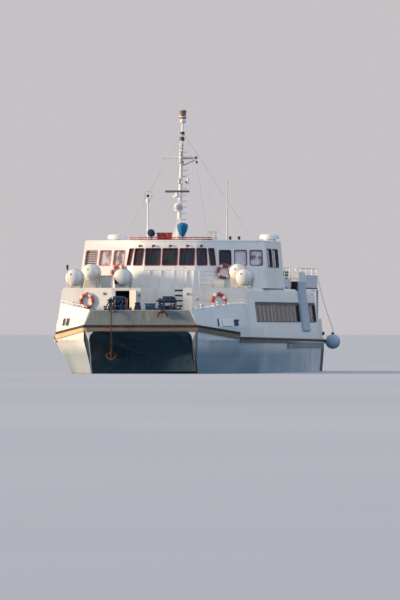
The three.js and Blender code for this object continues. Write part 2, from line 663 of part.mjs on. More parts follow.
function upperDeck() {
  const edge = (aft) => sideHalf(aft, SHOULDER_Z) - SHOULDER_R - GAP;
  const start = frontAft(0) + PLATE + GAP;
  const corner = edge(FRONT_CORNER_AFT);
  const endOfSides = SALOON_END_AFT + GAP;
  const outer = [
    [SALOON_FRONT.kneeX, start], [corner, frontAft(corner) + PLATE + GAP],
    ...[5000, 9000, 15000, 21000, endOfSides].map((aft) => [edge(aft), aft]),
    ...[endOfSides, LENGTH].map((aft) => [sideHalf(aft, SHOULDER_Z), aft]),
  ];
  const notch = [RECESS.starboardX - PLATE - GAP, RECESS.portX + PLATE + GAP];
  const notchAft = RECESS.backHeadAft + PLATE + GAP;
  const outline = [
    [notch[1], start], ...outer, ...outer.map(([x, aft]) => [-x, aft]).reverse(),
    [notch[0], start], [notch[0], notchAft], [notch[1], notchAft],
  ].map(([x, aft]) => [x, fromBow(aft)]);
  const slab = cut(prism(outline, 'z', UPPER_DECK_Z - PLATE, UPPER_DECK_Z), [
    block(STAIRS.x0, STAIRS.x1, fromBow(STAIRS.headAft), fromBow(26400), 3900, 4300)]);
  const posts = [1, -1].map((side) => block(
    side * DECK_POST.x - DECK_POST.half, side * DECK_POST.x + DECK_POST.half,
    fromBow(DECK_POST.aft) - DECK_POST.half, fromBow(DECK_POST.aft) + DECK_POST.half,
    MAIN_DECK_Z + GAP, UPPER_DECK_Z - 10));
  return unite([slab, ...posts, ...stairs()]);
}

function stairs() {
  const { x0, x1, headAft, footAft, treads } = STAIRS;
  const stringer = (x) => prism([
    [fromBow(footAft) - 200, MAIN_DECK_Z + GAP], [fromBow(footAft), MAIN_DECK_Z + GAP],
    [fromBow(headAft) + 200, UPPER_DECK_Z - 5], [fromBow(headAft) - 50, UPPER_DECK_Z - 5],
  ], 'x', x, x + 40);
  const rise = (UPPER_DECK_Z - MAIN_DECK_Z) / (treads + 1);
  const going = (footAft - headAft) / (treads + 1);
  const steps = Array.from({ length: treads }, (_, i) => {
    const y = fromBow(footAft - (i + 1) * going);
    const z = MAIN_DECK_Z + (i + 1) * rise;
    return block(x0 + 20, x1 - 20, y - 150, y + 60, z - 20, z + 20);
  });
  return [stringer(x0), stringer(x1 - 40), ...steps];
}

addNode('upper_deck', upperDeck(), 'white');

// Vent trunks: a casing on each side that rises through the shoulder line to a box on deck
const TRUNK = { from: 18800, to: 21200, proud: 80, footZ: 2000, topZ: 5000, innerX: 3850 };

function ventTrunk(side) {
  const rings = [TRUNK.from, 21000, TRUNK.to].map((aft) => {
    const x = (z) => sideHalf(aft, z);
    const shoulderX = x(SHOULDER_Z);
    return [
      [x(TRUNK.footZ) + 1, TRUNK.footZ], [x(TRUNK.footZ) + TRUNK.proud, TRUNK.footZ + 60],
      [x(4000) + TRUNK.proud, 4000], [shoulderX + 60, 4300], [shoulderX + 40, TRUNK.topZ - 60],
      [shoulderX - 20, TRUNK.topZ], [TRUNK.innerX, TRUNK.topZ],
      [TRUNK.innerX, UPPER_DECK_Z + 1], ...houseProfile(aft, TRUNK.footZ, -1).slice(2).reverse(),
    ].map(([half, z]) => [side * half, fromBow(aft), z]);
  });
  return loft(rings);
}

for (const [name, side] of Object.entries(SIDES)) {
  addNode(`vent_trunk_${name}`, ventTrunk(side), 'trunk');
}

// Upper house. The front is raked and faceted, with the wheelhouse in its middle, and the sides
// lean in and close a little aft. At their common corner both slopes keep the facets flat
const FRONT_CORNER = { x: 4490, aft: 8950 };
const AFT_CORNER = { x: 4320, aft: UPPER_END_AFT };
const SIDE_TAPER = (FRONT_CORNER.x - AFT_CORNER.x) / (AFT_CORNER.aft - FRONT_CORNER.aft);
const WING_START = { x: 2182, aft: 8320 };
const WING_SWEEP = (FRONT_CORNER.aft - WING_START.aft) / (FRONT_CORNER.x - WING_START.x);
const CORNER_LEAN = (UPPER_LEAN + UPPER_RAKE * SIDE_TAPER) / (1 + WING_SWEEP * SIDE_TAPER);
const CORNER_RAKE = UPPER_RAKE - WING_SWEEP * CORNER_LEAN;
const RETURN = 180;
const sideCorner = (aft, lean, rake) => [
  FRONT_CORNER.x - SIDE_TAPER * (aft - FRONT_CORNER.aft), aft, lean, rake];

// Corners at window height: x, aft, inward lean and aft rake per millimetre of rise
const UPPER_FRONT = [
  [1265, 7850, 0, UPPER_RAKE], [1850, 8035, 0, UPPER_RAKE],
  [WING_START.x, WING_START.aft, 0, UPPER_RAKE],
  sideCorner(FRONT_CORNER.aft, CORNER_LEAN, CORNER_RAKE),
];
const RETURN_CORNER = sideCorner(FRONT_CORNER.aft + RETURN, CORNER_LEAN, CORNER_RAKE);
const aftCorner = (aft) => sideCorner(aft, UPPER_LEAN, 0);
const WALL_HEAD_Z = ROOF_Z - 100 - GAP;

function upperLevel(corners, z) {
  const rise = z - UPPER_REF_Z;
  return corners.map(([x, aft, lean, rake]) => [
    x - Math.sign(x) * lean * rise, fromBow(aft) + rake * rise, z]);
}

const upperFrontPath = acrossBow([...UPPER_FRONT, RETURN_CORNER]);
const upperLevels = (corners, low, high) => [upperLevel(corners, low), upperLevel(corners, high)];

// Windows of the front, per facet of the port half: start and width along it, low, high
const WHEELHOUSE_GLASS = [5200, 6040];
const SALOON_GLASS = [5200, 5950];
const FRONT_WINDOWS = [
  { facet: [1, 2], spans: [[50, 510]], heights: WHEELHOUSE_GLASS },
  { facet: [2, 3], spans: [[50, 340]], heights: WHEELHOUSE_GLASS },
  { facet: [3, 4], spans: [[150, 590], [890, 610], [1640, 620]], heights: SALOON_GLASS },
];
const CENTRE_WINDOWS = { pitch: 840, width: 760 };

function frontCutters() {
  const cutters = [-1, 0, 1].map((i) => {
    const x = i * CENTRE_WINDOWS.pitch;
    return block(x - CENTRE_WINDOWS.width / 2, x + CENTRE_WINDOWS.width / 2,
      fromBow(7200), fromBow(8500), ...WHEELHOUSE_GLASS);
  });
  for (const { facet, spans, heights: [low, high] } of FRONT_WINDOWS) {
    const [a, b] = facet.map((number) => UPPER_FRONT[number - 1]);
    const run = Math.hypot(b[0] - a[0], b[1] - a[1]);
    for (const [start, width] of spans) {
      const along = (start + width / 2) / run;
      for (const side of [1, -1]) {
        const opening = new THREE.BoxGeometry(width, 1000, high - low);
        opening.rotateZ(side * Math.atan2(b[1] - a[1], b[0] - a[0]));
        cutters.push(opening.translate(side * (a[0] + (b[0] - a[0]) * along),
          fromBow(a[1] + (b[1] - a[1]) * along), (low + high) / 2));
      }
    }
  }
  return cutters;
}

const FOOT_Z = UPPER_DECK_Z + GAP;
addNode('upper_front', cut(
  plate(upperLevels(upperFrontPath, FOOT_Z, WALL_HEAD_Z), 0, PLATE), frontCutters()), 'white');

const UPPER_SIDE_WINDOWS = [[9700, 11300], [11700, 13500]];
for (const [name, side] of Object.entries(SIDES)) {
  const corners = [
    sideCorner(FRONT_CORNER.aft + RETURN + GAP, CORNER_LEAN, CORNER_RAKE),
    aftCorner(UPPER_END_AFT),
  ].map(([x, ...rest]) => [side * x, ...rest]);
  if (side < 0) corners.reverse();
  const wall = plate(upperLevels(corners, FOOT_Z, WALL_HEAD_Z), 0, PLATE);
  const coaming = block(side * 4200, side * 4520, fromBow(9300), fromBow(14700), FOOT_Z, 4200);
  addNode(`upper_side_${name}`, cut(unite([wall, coaming]), UPPER_SIDE_WINDOWS.map(
    ([from, to]) => block(side * 4000, side * 5000, fromBow(from), fromBow(to), 5150, 6000))),
  'white');
}

function upperAftBulkhead() {
  const [front, back] = [UPPER_END_AFT + GAP, UPPER_END_AFT + PLATE].map(fromBow);
  const half = upperLevels([aftCorner(UPPER_END_AFT)], FOOT_Z, WALL_HEAD_Z).map(([[x, , z]]) => [x, z]);
  const outline = [...half, ...half.map(([x, z]) => [-x, z]).reverse()];
  const windows = [-3400, -2000, 1000, 2400].map(
    (x) => block(x, x + 1000, front - 50, back + 50, 5150, 6000));
  const wall = unite([prism(outline, 'y', front, back), ...hingeLugs(AFT_HINGE_X,
    back + HINGE.stand, back - 20, UPPER_DOOR.low, UPPER_DOOR.high)]);
  return cut(wall, [
    block(-AFT_DOOR.half, AFT_DOOR.half, front - 50, back + 50, UPPER_DOOR.low, UPPER_DOOR.high),
    ...windows]);
}

addNode('upper_aft_bulkhead', upperAftBulkhead(), 'white');

// One band of glass inside the front and both sides
const GLASS_BAND = [5120, 6080];
const glassPath = acrossBow([...UPPER_FRONT, aftCorner(13650)]);
addNode('upper_glass', plate(upperLevels(glassPath, ...GLASS_BAND),
  PLATE + GAP, PLATE + GAP + GLASS), 'glass');

// Roof with two mushroom vents
const ROOF_VENT = { x: 3790, aft: 14350, radius: 465 };

function upperRoof() {
  const around = acrossBow([...UPPER_FRONT, aftCorner(UPPER_END_AFT + PLATE)]);
  const base = upperLevel(around, ROOF_Z - 100);
  const centreY = fromBow(11500);
  const ring = (z, scale) => base.map(([x, y]) => [x * scale, centreY + (y - centreY) * scale, z]);
  const slab = loft([ring(ROOF_Z - 100, 1), ring(ROOF_Z - 40, 1), ring(ROOF_Z, 0.985)],
    ([x, y]) => [x, y]);
  const vent = turned([[0, -20], [300, -20], [300, 120], [465, 140], [465, 260], [330, 340],
    [0, 350]], 20);
  return unite([slab, ...[1, -1].map(
    (side) => moved(vent, side * ROOF_VENT.x, fromBow(ROOF_VENT.aft), ROOF_Z))]);
}

addNode('upper_roof', upperRoof(), 'white');

// Inside the wheelhouse
addNode('helm_console', prism([
  [fromBow(8150), FOOT_Z], [fromBow(9100), FOOT_Z], [fromBow(9150), 4900], [fromBow(8900), 5100],
  [fromBow(8250), 5100],
], 'x', -1600, 1600), 'dark');

function helmChair(x) {
  const y = fromBow(10000);
  return [
    rod([x, y, UPPER_DECK_Z + 30], [x, y, UPPER_DECK_Z + 560], 70),
    block(x - 280, x + 280, y - 280, y + 280, UPPER_DECK_Z + 540, UPPER_DECK_Z + 660),
    block(x - 270, x + 270, y + 200, y + 300, UPPER_DECK_Z + 640, UPPER_DECK_Z + 1380),
  ];
}

addNode('helm_chairs', unite([
  block(-1100, 1100, fromBow(9650), fromBow(10350), FOOT_Z, FOOT_Z + 50),
  ...helmChair(-600), ...helmChair(600),
]), 'dark');
addNode('upper_seats', seatRows(rowsFrom(11200, 4).slice(0, 3), [[-3900, -2300], [-1500, -100],
  [300, 1500], [2300, 3900]], UPPER_DECK_Z), 'seat');

// Mast, raked aft, with its yard, lights, radome and the radar's platform
const MAST = { aft: 10300, topZ: 12200, rake: 0.1887, footRadius: 130, topRadius: 45 };
const mastY = (z) => fromBow(MAST.aft) + MAST.rake * (z - ROOF_Z);
const mastAt = (z, x = 0, ahead = 0) => [x, mastY(z) - ahead, z];
const RADAR = { ahead: 850, platformZ: 8600, pedestalTop: 8720, half: 600 };
const STAY = {
  ringZ: 11600, ringInner: 66, ringOuter: 120, radius: 10, ends: [[2600, 9300], [3300, 12600]],
};
const radarY = mastY(RADAR.platformZ) - RADAR.ahead;
const belowRoof = block(-9000, 9000, -13000, 13000, ROOF_Z - 500, ROOF_Z + GAP);

addNode('mast', cut(unite([
  rod(mastAt(ROOF_Z + GAP), mastAt(MAST.topZ), MAST.footRadius, MAST.topRadius, 14),
  prism([[mastY(ROOF_Z) - 350, ROOF_Z + GAP], [mastY(ROOF_Z) + 450, ROOF_Z + GAP],
    [mastY(7800) + 60, 7800], [mastY(7800) - 60, 7800]], 'x', -45, 45),
  prism([[-380, ROOF_Z + GAP], [380, ROOF_Z + GAP], [90, 7500], [-90, 7500]], 'y',
    mastY(ROOF_Z) - 40, mastY(ROOF_Z) + 60),
  rod(mastAt(MAST.topZ - 30), mastAt(12420), 120, 60),
  rod(mastAt(12400), mastAt(12800), 170, 150, 14),
  rod(mastAt(11300), mastAt(11500), 100, 100, 12),
  rod(mastAt(10200, 0, 120), mastAt(11180, 0, 120), 90, 90, 10),
  rod(mastAt(10500, -1000), mastAt(10500, 750), 30, 30, 8),
  rod(mastAt(9300), mastAt(9300, 350), 30, 30, 8),
  rod(mastAt(9200, 350), mastAt(9480, 350), 60, 60, 8),
  block(-60, 60, radarY - 120, mastY(RADAR.platformZ), RADAR.platformZ - 60, RADAR.platformZ),
  rod([0, radarY, RADAR.platformZ - 30], [0, radarY, RADAR.pedestalTop], 110),
  block(-50, 50, mastY(7900) - 420, mastY(7900), 7840, 7900),
  moved(turned([[0, 0], [200, 0], [225, 120], [200, 300], [100, 380], [0, 390]]),
    0, mastY(7900) - 400, 7880),
]), [belowRoof]), 'white');

addNode('radar_scanner', unite([
  block(-RADAR.half, RADAR.half, -60, 60, 40, 150),
  rod([0, 0, GAP], [0, 0, 60], 60),
].map((piece) => moved(piece, 0, radarY, RADAR.pedestalTop))), 'dark');

function mastStays() {
  const { ringInner, ringOuter } = STAY;
  const ring = turned([[ringInner, -25], [ringOuter, -25], [ringOuter, 25], [ringInner, 25],
    [ringInner, -25]], 12);
  const top = mastAt(STAY.ringZ);
  const lines = STAY.ends.flatMap(([x, aft]) => [x, -x].map((end) => {
    const foot = [end, fromBow(aft), ROOF_Z + GAP];
    const reach = Math.hypot(end, foot[1] - top[1]);
    const edge = (ringOuter - 15) / reach;
    return rod(foot, [end * edge, top[1] + (foot[1] - top[1]) * edge, STAY.ringZ],
      STAY.radius, STAY.radius, 6);
  }));
  const pads = STAY.ends.flatMap(([x, aft]) => [x, -x].map((end) => block(end - 60, end + 60,
    fromBow(aft) - 60, fromBow(aft) + 60, ROOF_Z + GAP, ROOF_Z + 40)));
  return cut(unite([moved(ring, ...top), ...lines, ...pads]), [belowRoof]);
}

addNode('mast_stays', mastStays(), 'steel');

// Direction finder on its own pole
const FINDER = { x: -1380, aft: 9500, topZ: 8400, loop: 200 };
addNode('direction_finder', unite([
  rod([FINDER.x, fromBow(FINDER.aft), ROOF_Z + GAP], [FINDER.x, fromBow(FINDER.aft), FINDER.topZ],
    55, 35),
  rod([FINDER.x, fromBow(FINDER.aft), FINDER.topZ - 120],
    [FINDER.x, fromBow(FINDER.aft), FINDER.topZ + 60], 90),
  new THREE.TorusGeometry(FINDER.loop, 18, 6, 20).rotateX(Math.PI / 2)
    .translate(FINDER.x, fromBow(FINDER.aft), FINDER.topZ + FINDER.loop + 30),
]), 'white');

// Red rail along the wheelhouse's roof edge, with what stands on its plinth
const ROOF_RAIL = { inset: 110, width: 70, plinthZ: ROOF_Z + 40, railZ: ROOF_Z + 110 };

function roofGear() {
  const corners = UPPER_FRONT.slice(0, 3).map(([x, aft, ...follow]) => [x * 0.97, aft, ...follow]);
  const edge = upperLevel(acrossBow(corners), ROOF_Z + GAP);
  const high = edge.map(([x, y]) => [x, y, ROOF_RAIL.plinthZ]);
  const middle = offsetLine(edge, ROOF_RAIL.inset + ROOF_RAIL.width / 2);
  const rails = middle.slice(1).map((end, i) => rod(
    [...middle[i], ROOF_RAIL.railZ], [...end, ROOF_RAIL.railZ], 18, 18, 6));
  const posts = middle.map((p) => rod([...p, ROOF_Z + 20], [...p, ROOF_RAIL.railZ + 5], 18, 18, 6));
  const y = middle[2][1];
  const stand = (x, top) => rod([x, y + 60, ROOF_Z + GAP], [x, y + 60, top], 40);
  const low = ROOF_Z + GAP;
  return unite([
    plate([edge, high], ROOF_RAIL.inset, ROOF_RAIL.inset + ROOF_RAIL.width), ...rails, ...posts,
    block(-710, -30, y - 20, y + 300, low, 6780),
    block(1790, 2110, y + 240, y + 560, low, 6870),
    block(1560, 1900, y + 200, y + 320, low, 6500),
    stand(-1012, 6700),
    rod([-1012, y - 120, 6790], [-1012, y + 240, 6790], 175, 150, 14),
    stand(512, 6700),
    moved(turned([[0, 0], [110, 60], [255, 380], [265, 560], [190, 690], [0, 730]]),
      512, y + 60, 6545),
  ]);
}

addNode('roof_front_gear', roofGear(), 'red');

// Anchor winches on the fore deck: the frame, and the drum turning in it
const WINCH = { aft: 1560, axisZ: 3000, half: 380, flange: 330, drum: 190, shaft: 45 };
const WINCH_X = { starboard: -1380, port: 1020 };

function winchFrame(x) {
  const y = fromBow(WINCH.aft);
  const base = FORE_DECK_Z + GAP;
  const cheek = (offset) => prism([[y - 330, base], [y + 330, base], [y + 130, 3320],
    [y - 130, 3320]], 'x', x + offset - 25, x + offset + 25);
  const frame = unite([
    block(x - 420, x + 420, y - 360, y + 360, base, base + 90),
    cheek(-WINCH.half), cheek(WINCH.half),
    block(x - WINCH.half, x + WINCH.half, y + 60, y + 120, 3400, 3460),
    block(x - WINCH.half - 25, x - WINCH.half + 25, y + 40, y + 140, 3250, 3460),
    block(x + WINCH.half - 25, x + WINCH.half + 25, y + 40, y + 140, 3250, 3460),
    rod([x, y + 90, 3420], [x, y + 90, 3680], 25, 25, 8),
    moved(turned([[0, 0], [190, 0], [190, 30], [0, 30]], 14), x, y + 90, 3660),
    block(x + 140, x + 360, y + 260, y + 500, base + 60, 2780),
  ]);
  const bearing = boreFor(WINCH.shaft);
  return cut(frame, [rod([x - 600, y, WINCH.axisZ], [x + 600, y, WINCH.axisZ], bearing, bearing,
    BORE_SIDES)]);
}

function winchDrum(x) {
  const y = fromBow(WINCH.aft);
  const length = (from, to, radius, sides) => rod([x + from, y, WINCH.axisZ],
    [x + to, y, WINCH.axisZ], radius, radius, sides);
  return unite([
    length(-640, 640, WINCH.shaft, 10), length(-300, 300, WINCH.drum, 12),
    length(-320, -280, WINCH.flange, 14), length(280, 320, WINCH.flange, 14),
    length(-620, -440, 130, 10), length(440, 620, 130, 10),
    length(-640, -600, 175, 10), length(600, 640, 175, 10),
  ]);
}

for (const [name, x] of Object.entries(WINCH_X)) {
  addNode(`winch_frame_${name}`, winchFrame(x), 'navy');
  addNode(`winch_drum_${name}`, winchDrum(x), 'navy');
}

// Anchors: the starboard one hangs on its chain, the port one hooks over the bulwark
const ANCHOR = { width: 530, height: 620, thick: 90 };
const CHAIN = { link: 190, wide: 80, wire: 30, overlap: 30 };

// An anchor seen from ahead, with its crown down at z = 0
function anchor(shankTop) {
  const half = ANCHOR.width / 2;
  const fluke = (side) => prism([
    [side * 30, 0], [side * half, 130], [side * (half - 40), 360], [side * 90, 150],
  ], 'y', -ANCHOR.thick / 2, ANCHOR.thick / 2);
  return [
    block(-32, 32, -32, 32, 60, shankTop), fluke(1), fluke(-1),
    block(-110, 110, -70, 70, -20, 110),
    new THREE.TorusGeometry(50, 16, 6, 12).rotateX(Math.PI / 2).translate(0, 0, shankTop + 40),
  ];
}

function chainLinks(from, to) {
  const [a, b] = [from, to].map((p) => new THREE.Vector3(...p));
  const along = b.clone().sub(a);
  const pitch = CHAIN.link - CHAIN.overlap;
  const count = Math.max(1, Math.round(along.length() / pitch));
  const turn = new THREE.Quaternion().setFromUnitVectors(
    new THREE.Vector3(0, 0, 1), along.clone().normalize());
  return Array.from({ length: count }, (_, i) => {
    const wide = i % 2 === 0 ? [CHAIN.wide, CHAIN.wire] : [CHAIN.wire, CHAIN.wide];
    const link = new THREE.BoxGeometry(...wide, CHAIN.link).applyQuaternion(turn);
    const at = a.clone().addScaledVector(along, (i + 0.5) / count);
    return link.translate(at.x, at.y, at.z);
  });
}

const HANG = { y: fromBow(0) - 290, topZ: 3100 + GAP, anchorZ: 630 };
addNode('anchor_starboard', unite([
  ...anchor(560).map((piece) => moved(piece, ANCHOR_X.starboard, HANG.y, HANG.anchorZ)),
  ...chainLinks([ANCHOR_X.starboard, HANG.y, HANG.anchorZ + 600],
    [ANCHOR_X.starboard, HANG.y, HANG.topZ]),
  ...chainLinks([ANCHOR_X.starboard, HANG.y - 15, HANG.topZ - 10],
    [ANCHOR_X.starboard, fromBow(850), HANG.topZ - 10]),
]), 'rust');

function stowedAnchor() {
  const pieces = anchor(150).map((piece) => piece.clone().rotateX(Math.PI));
  const head = pieces.map((piece) => moved(piece, ANCHOR_X.port, fromBow(0) - 260, 3010));
  return unite([...head,
    block(ANCHOR_X.port - 40, ANCHOR_X.port + 40, fromBow(0) - 300, fromBow(520), 3000 + GAP, 3070),
  ]);
}

addNode('anchor_port', stowedAnchor(), 'rust');

// Life rafts in canisters, a pair on a rack each side and a single one
const RAFT = { radius: 390, length: 1300 };
const RACK = {
  outer: { x: 4150, aft: 4500, z: 4600 },
  inner: { x: 3600, aft: 5900, z: 4870 },
};

function canister(x, aft, z, radius = RAFT.radius) {
  const dome = 150;
  const shape = turned([[0, 0], [radius * 0.6, 30], [radius, dome],
    [radius, RAFT.length - dome], [radius * 0.6, RAFT.length - 30], [0, RAFT.length]], 14);
  return shape.rotateX(-Math.PI / 2).translate(x, fromBow(aft), z);
}

function raftRack(side) {
  const floor = UPPER_DECK_Z + GAP;
  const { outer, inner } = RACK;
  const saddle = (x, aft, z, half) => block(side * (x - half), side * (x + half),
    fromBow(aft), fromBow(aft + 80), floor + 40, z - RAFT.radius * 0.8);
  return unite([
    canister(side * outer.x, outer.aft, outer.z), canister(side * inner.x, inner.aft, inner.z),
    block(side * 3300, side * 4320, fromBow(4800), fromBow(4880), floor, floor + 60),
    block(side * 3300, side * 4320, fromBow(6900), fromBow(6980), floor, floor + 60),
    block(side * 3560, side * 3660, fromBow(4800), fromBow(6980), floor, floor + 60),
    saddle(3980, 4800, outer.z, 300), saddle(3980, 5500, outer.z, 300),
    block(side * 3600, side * 4200, fromBow(5500), fromBow(5580), floor, floor + 60),
    saddle(inner.x, 6200, inner.z, 280), saddle(inner.x, 6900, inner.z, 280),
    block(side * 3560, side * 3660, fromBow(6200), fromBow(6280), floor, floor + 60),
  ]);
}

for (const [name, side] of Object.entries(SIDES)) {
  addNode(`raft_rack_${name}`, raftRack(side), 'canister');
}
const SINGLE_RAFT = { x: -1900, aft: 5050, z: 4610, radius: 400 };
addNode('raft_single', unite([
  canister(SINGLE_RAFT.x, SINGLE_RAFT.aft, SINGLE_RAFT.z, SINGLE_RAFT.radius),
  ...[300, 950].map((offset) => block(SINGLE_RAFT.x - 260, SINGLE_RAFT.x + 260,
    fromBow(SINGLE_RAFT.aft + offset), fromBow(SINGLE_RAFT.aft + offset + 80),
    UPPER_DECK_Z + GAP, SINGLE_RAFT.z - 310)),
]), 'canister');

// Lifebuoys on the house fronts: centre x, height, and the wall behind
const BUOY = { ring: 300, tube: 70 };
const BUOY_STAND = BUOY.tube * Math.cos(Math.PI / 6) + GAP;
const torusFacing = (normal) => new THREE.TorusGeometry(BUOY.ring, BUOY.tube, 6, 16)
  .applyQuaternion(new THREE.Quaternion().setFromUnitVectors(
    new THREE.Vector3(0, 0, 1), normal));

for (const [name, side] of Object.entries(SIDES)) {
  const lowSweep = Math.atan(SALOON_FRONT.sweep);
  const facing = new THREE.Vector3(side * Math.sin(lowSweep), -Math.cos(lowSweep), 0);
  addNode(`lifebuoy_lower_${name}`, torusFacing(facing).translate(
    side * 3200 + facing.x * BUOY_STAND, fromBow(frontAft(3200)) + facing.y * BUOY_STAND, 3480),
  'orange');
  const [a, b] = [UPPER_FRONT[2], UPPER_FRONT[3]];
  const sweep = Math.atan2(b[1] - a[1], b[0] - a[0]);
  const normal = new THREE.Vector3(side * Math.sin(sweep), -Math.cos(sweep),
    UPPER_RAKE * Math.cos(sweep)).normalize();
  const [x, z] = [2600, 4870];
  const wallAft = a[1] + (x - a[0]) * Math.tan(sweep) + UPPER_RAKE * (z - UPPER_REF_Z);
  const [dx, dy, dz] = normal.multiplyScalar(BUOY_STAND).toArray();
  addNode(`lifebuoy_upper_${name}`, torusFacing(normal.normalize()).translate(
    side * x + dx, fromBow(wallAft) + dy, z + dz), 'orange');
}

// Doors: the fore door stands open, the two aft doors are shut
const foreDoor = addNode('fore_door', doorLeaf(FORE_DOOR.x1 - FORE_DOOR.x0 + LEAF.lap * 2,
  FORE_DOOR.low, FORE_DOOR.high), 'white');
foreDoor.rotation.z = THREE.MathUtils.degToRad(180 + FORE_HINGE.openTurn);
foreDoor.position.set(FORE_HINGE.x, FORE_HINGE.y, 0);

const aftLeafWidth = AFT_HINGE_X * 2 + 20;
for (const [name, aft, low, high] of [
  ['aft_door', SALOON_END_AFT, AFT_DOOR.low, AFT_DOOR.high],
  ['upper_door', UPPER_END_AFT, UPPER_DOOR.low, UPPER_DOOR.high],
]) {
  const leaf = addNode(name, doorLeaf(aftLeafWidth, low, high), 'white');
  leaf.rotation.z = Math.PI;
  leaf.position.set(AFT_HINGE_X, fromBow(aft + PLATE) + HINGE.stand, 0);
}

// Ladder from the fore deck to the upper deck, its rails carried on above it
const LADDER = { x0: 460, x1: 900, aft: 6500, topZ: 5100, rungs: 7, pitch: 250 };

function foreLadder() {
  const y = fromBow(LADDER.aft);
  const deckEdgeY = fromBow(RECESS.backHeadAft);
  const rail = (x) => [
    rod([x, y, FORE_DECK_Z + GAP], [x, y, LADDER.topZ], 25, 25, 8),
    rod([x, y, LADDER.topZ - 20], [x, deckEdgeY - 60, LADDER.topZ - 20], 22, 22, 8),
  ];
  const rungs = Array.from({ length: LADDER.rungs }, (_, i) => {
    const z = FORE_DECK_Z + 300 + i * LADDER.pitch;
    return rod([LADDER.x0, y, z], [LADDER.x1, y, z], 16, 16, 6);
  });
  return unite([...rail(LADDER.x0), ...rail(LADDER.x1), ...rungs]);
}

addNode('fore_ladder', foreLadder(), 'white');

// Rail round the open upper deck
const ROPE = { radius: 14, top: [4165, 26930, 4780], straight: 80, steps: 44, sag: 130 };
const DECK_RAIL = { x: 4120, fromAft: 15200, toAft: 26880, heights: [560, 1060], radius: 22 };

function deckRail() {
  const corners = [[DECK_RAIL.x, DECK_RAIL.fromAft], [DECK_RAIL.x, DECK_RAIL.toAft],
    [-DECK_RAIL.x, DECK_RAIL.toAft], [-DECK_RAIL.x, DECK_RAIL.fromAft]]
    .map(([x, aft]) => [x, fromBow(aft)]);
  const pieces = [];
  for (let run = 0; run < 3; run += 1) {
    const [a, b] = [corners[run], corners[run + 1]];
    for (const height of DECK_RAIL.heights) {
      pieces.push(rod([...a, UPPER_DECK_Z + height], [...b, UPPER_DECK_Z + height],
        DECK_RAIL.radius, DECK_RAIL.radius, 4));
    }
    const bays = Math.round(Math.hypot(b[0] - a[0], b[1] - a[1]) / 1650);
    for (let i = run === 0 ? 0 : 1; i <= bays; i += 1) {
      const [x, y] = [0, 1].map((axis) => a[axis] + (b[axis] - a[axis]) * i / bays);
      const inTrunk = Math.abs(x) > 4000 && y > fromBow(TRUNK.from - 100)
        && y < fromBow(TRUNK.to + 100);
      const foot = inTrunk ? TRUNK.topZ : UPPER_DECK_Z;
      pieces.push(rod([x, y, foot + GAP], [x, y, UPPER_DECK_Z + 1070], 26, 26, 4));
    }
  }
  const [cleatX, cleatY, cleatZ] = [ROPE.top[0], fromBow(ROPE.top[1]), ROPE.top[2]];
  pieces.push(block(DECK_RAIL.x, cleatX + 25, cleatY - 60, cleatY + 25, cleatZ, cleatZ + 40));
  const solid = unite(pieces);
  const trunks = [1, -1].map((side) => block(side * 3840, side * 5000,
    fromBow(TRUNK.from) - 1, fromBow(TRUNK.to) + 1, UPPER_DECK_Z, TRUNK.topZ + GAP));
  return cut(solid, trunks);
}

addNode('upper_deck_rail', deckRail(), 'white');

// Propellers on their shafts, and rudders
const SCREW = { radius: 400, hub: 95, aft: 25000, length: 200, blades: 4 };

function propeller(side) {
  const x = side * SHAFT.x;
  const [front, back] = [fromBow(SCREW.aft), fromBow(SCREW.aft + SCREW.length)];
  const blade = new THREE.BoxGeometry(250, 24, SCREW.radius - 60)
    .translate(0, 0, (SCREW.radius + 60) / 2).rotateZ(side * 0.6);
  const blades = Array.from({ length: SCREW.blades }, (_, i) => blade.clone()
    .rotateY((i + 0.5) / SCREW.blades * Math.PI * 2)
    .translate(x, (front + back) / 2, SHAFT.z));
  const trim = rod([x, front - 200, SHAFT.z], [x, back + 200, SHAFT.z], SCREW.radius,
    SCREW.radius, 24);
  const wheel = toSolid(unite(blades)).intersect(toSolid(trim));
  return unite([
    rod([x, fromBow(SHAFT.startAft) - 350, SHAFT.z], [x, front + 50, SHAFT.z], SHAFT.radius),
    rod([x, front, SHAFT.z], [x, back + 60, SHAFT.z], SCREW.hub, 50, 14),
    toGeometry(wheel),
  ]);
}

function rudder(side) {
  const x = side * SHAFT.x;
  const y = fromBow(STOCK.aft);
  const foil = [[0, -170], [30, -130], [38, -40], [30, 120], [6, 330], [-6, 330], [-30, 120],
    [-38, -40], [-30, -130]].map(([dx, dy]) => [x + dx, y + dy]);
  return unite([
    prism(foil, 'z', -1150, -380),
    rod([x, y, -500], [x, y, STOCK.topZ], STOCK.radius),
  ]);
}

for (const [name, side] of Object.entries(SIDES)) {
  addNode(`propeller_${name}`, propeller(side), 'bronze');
  addNode(`rudder_${name}`, rudder(side), 'shell');
}

// Ball fender at the port quarter on its rope
const BALL = { radius: 375, x: 4930, aft: 26900, z: 1500 };

const ballTop = BALL.z + BALL.radius + 90;
addNode('fender_ball', unite([
  new THREE.SphereGeometry(BALL.radius, 16, 10).translate(BALL.x, fromBow(BALL.aft), BALL.z),
  rod([BALL.x, fromBow(BALL.aft), BALL.z + BALL.radius - 40],
    [BALL.x, fromBow(BALL.aft), ballTop], 80, 55),
]), 'fender');

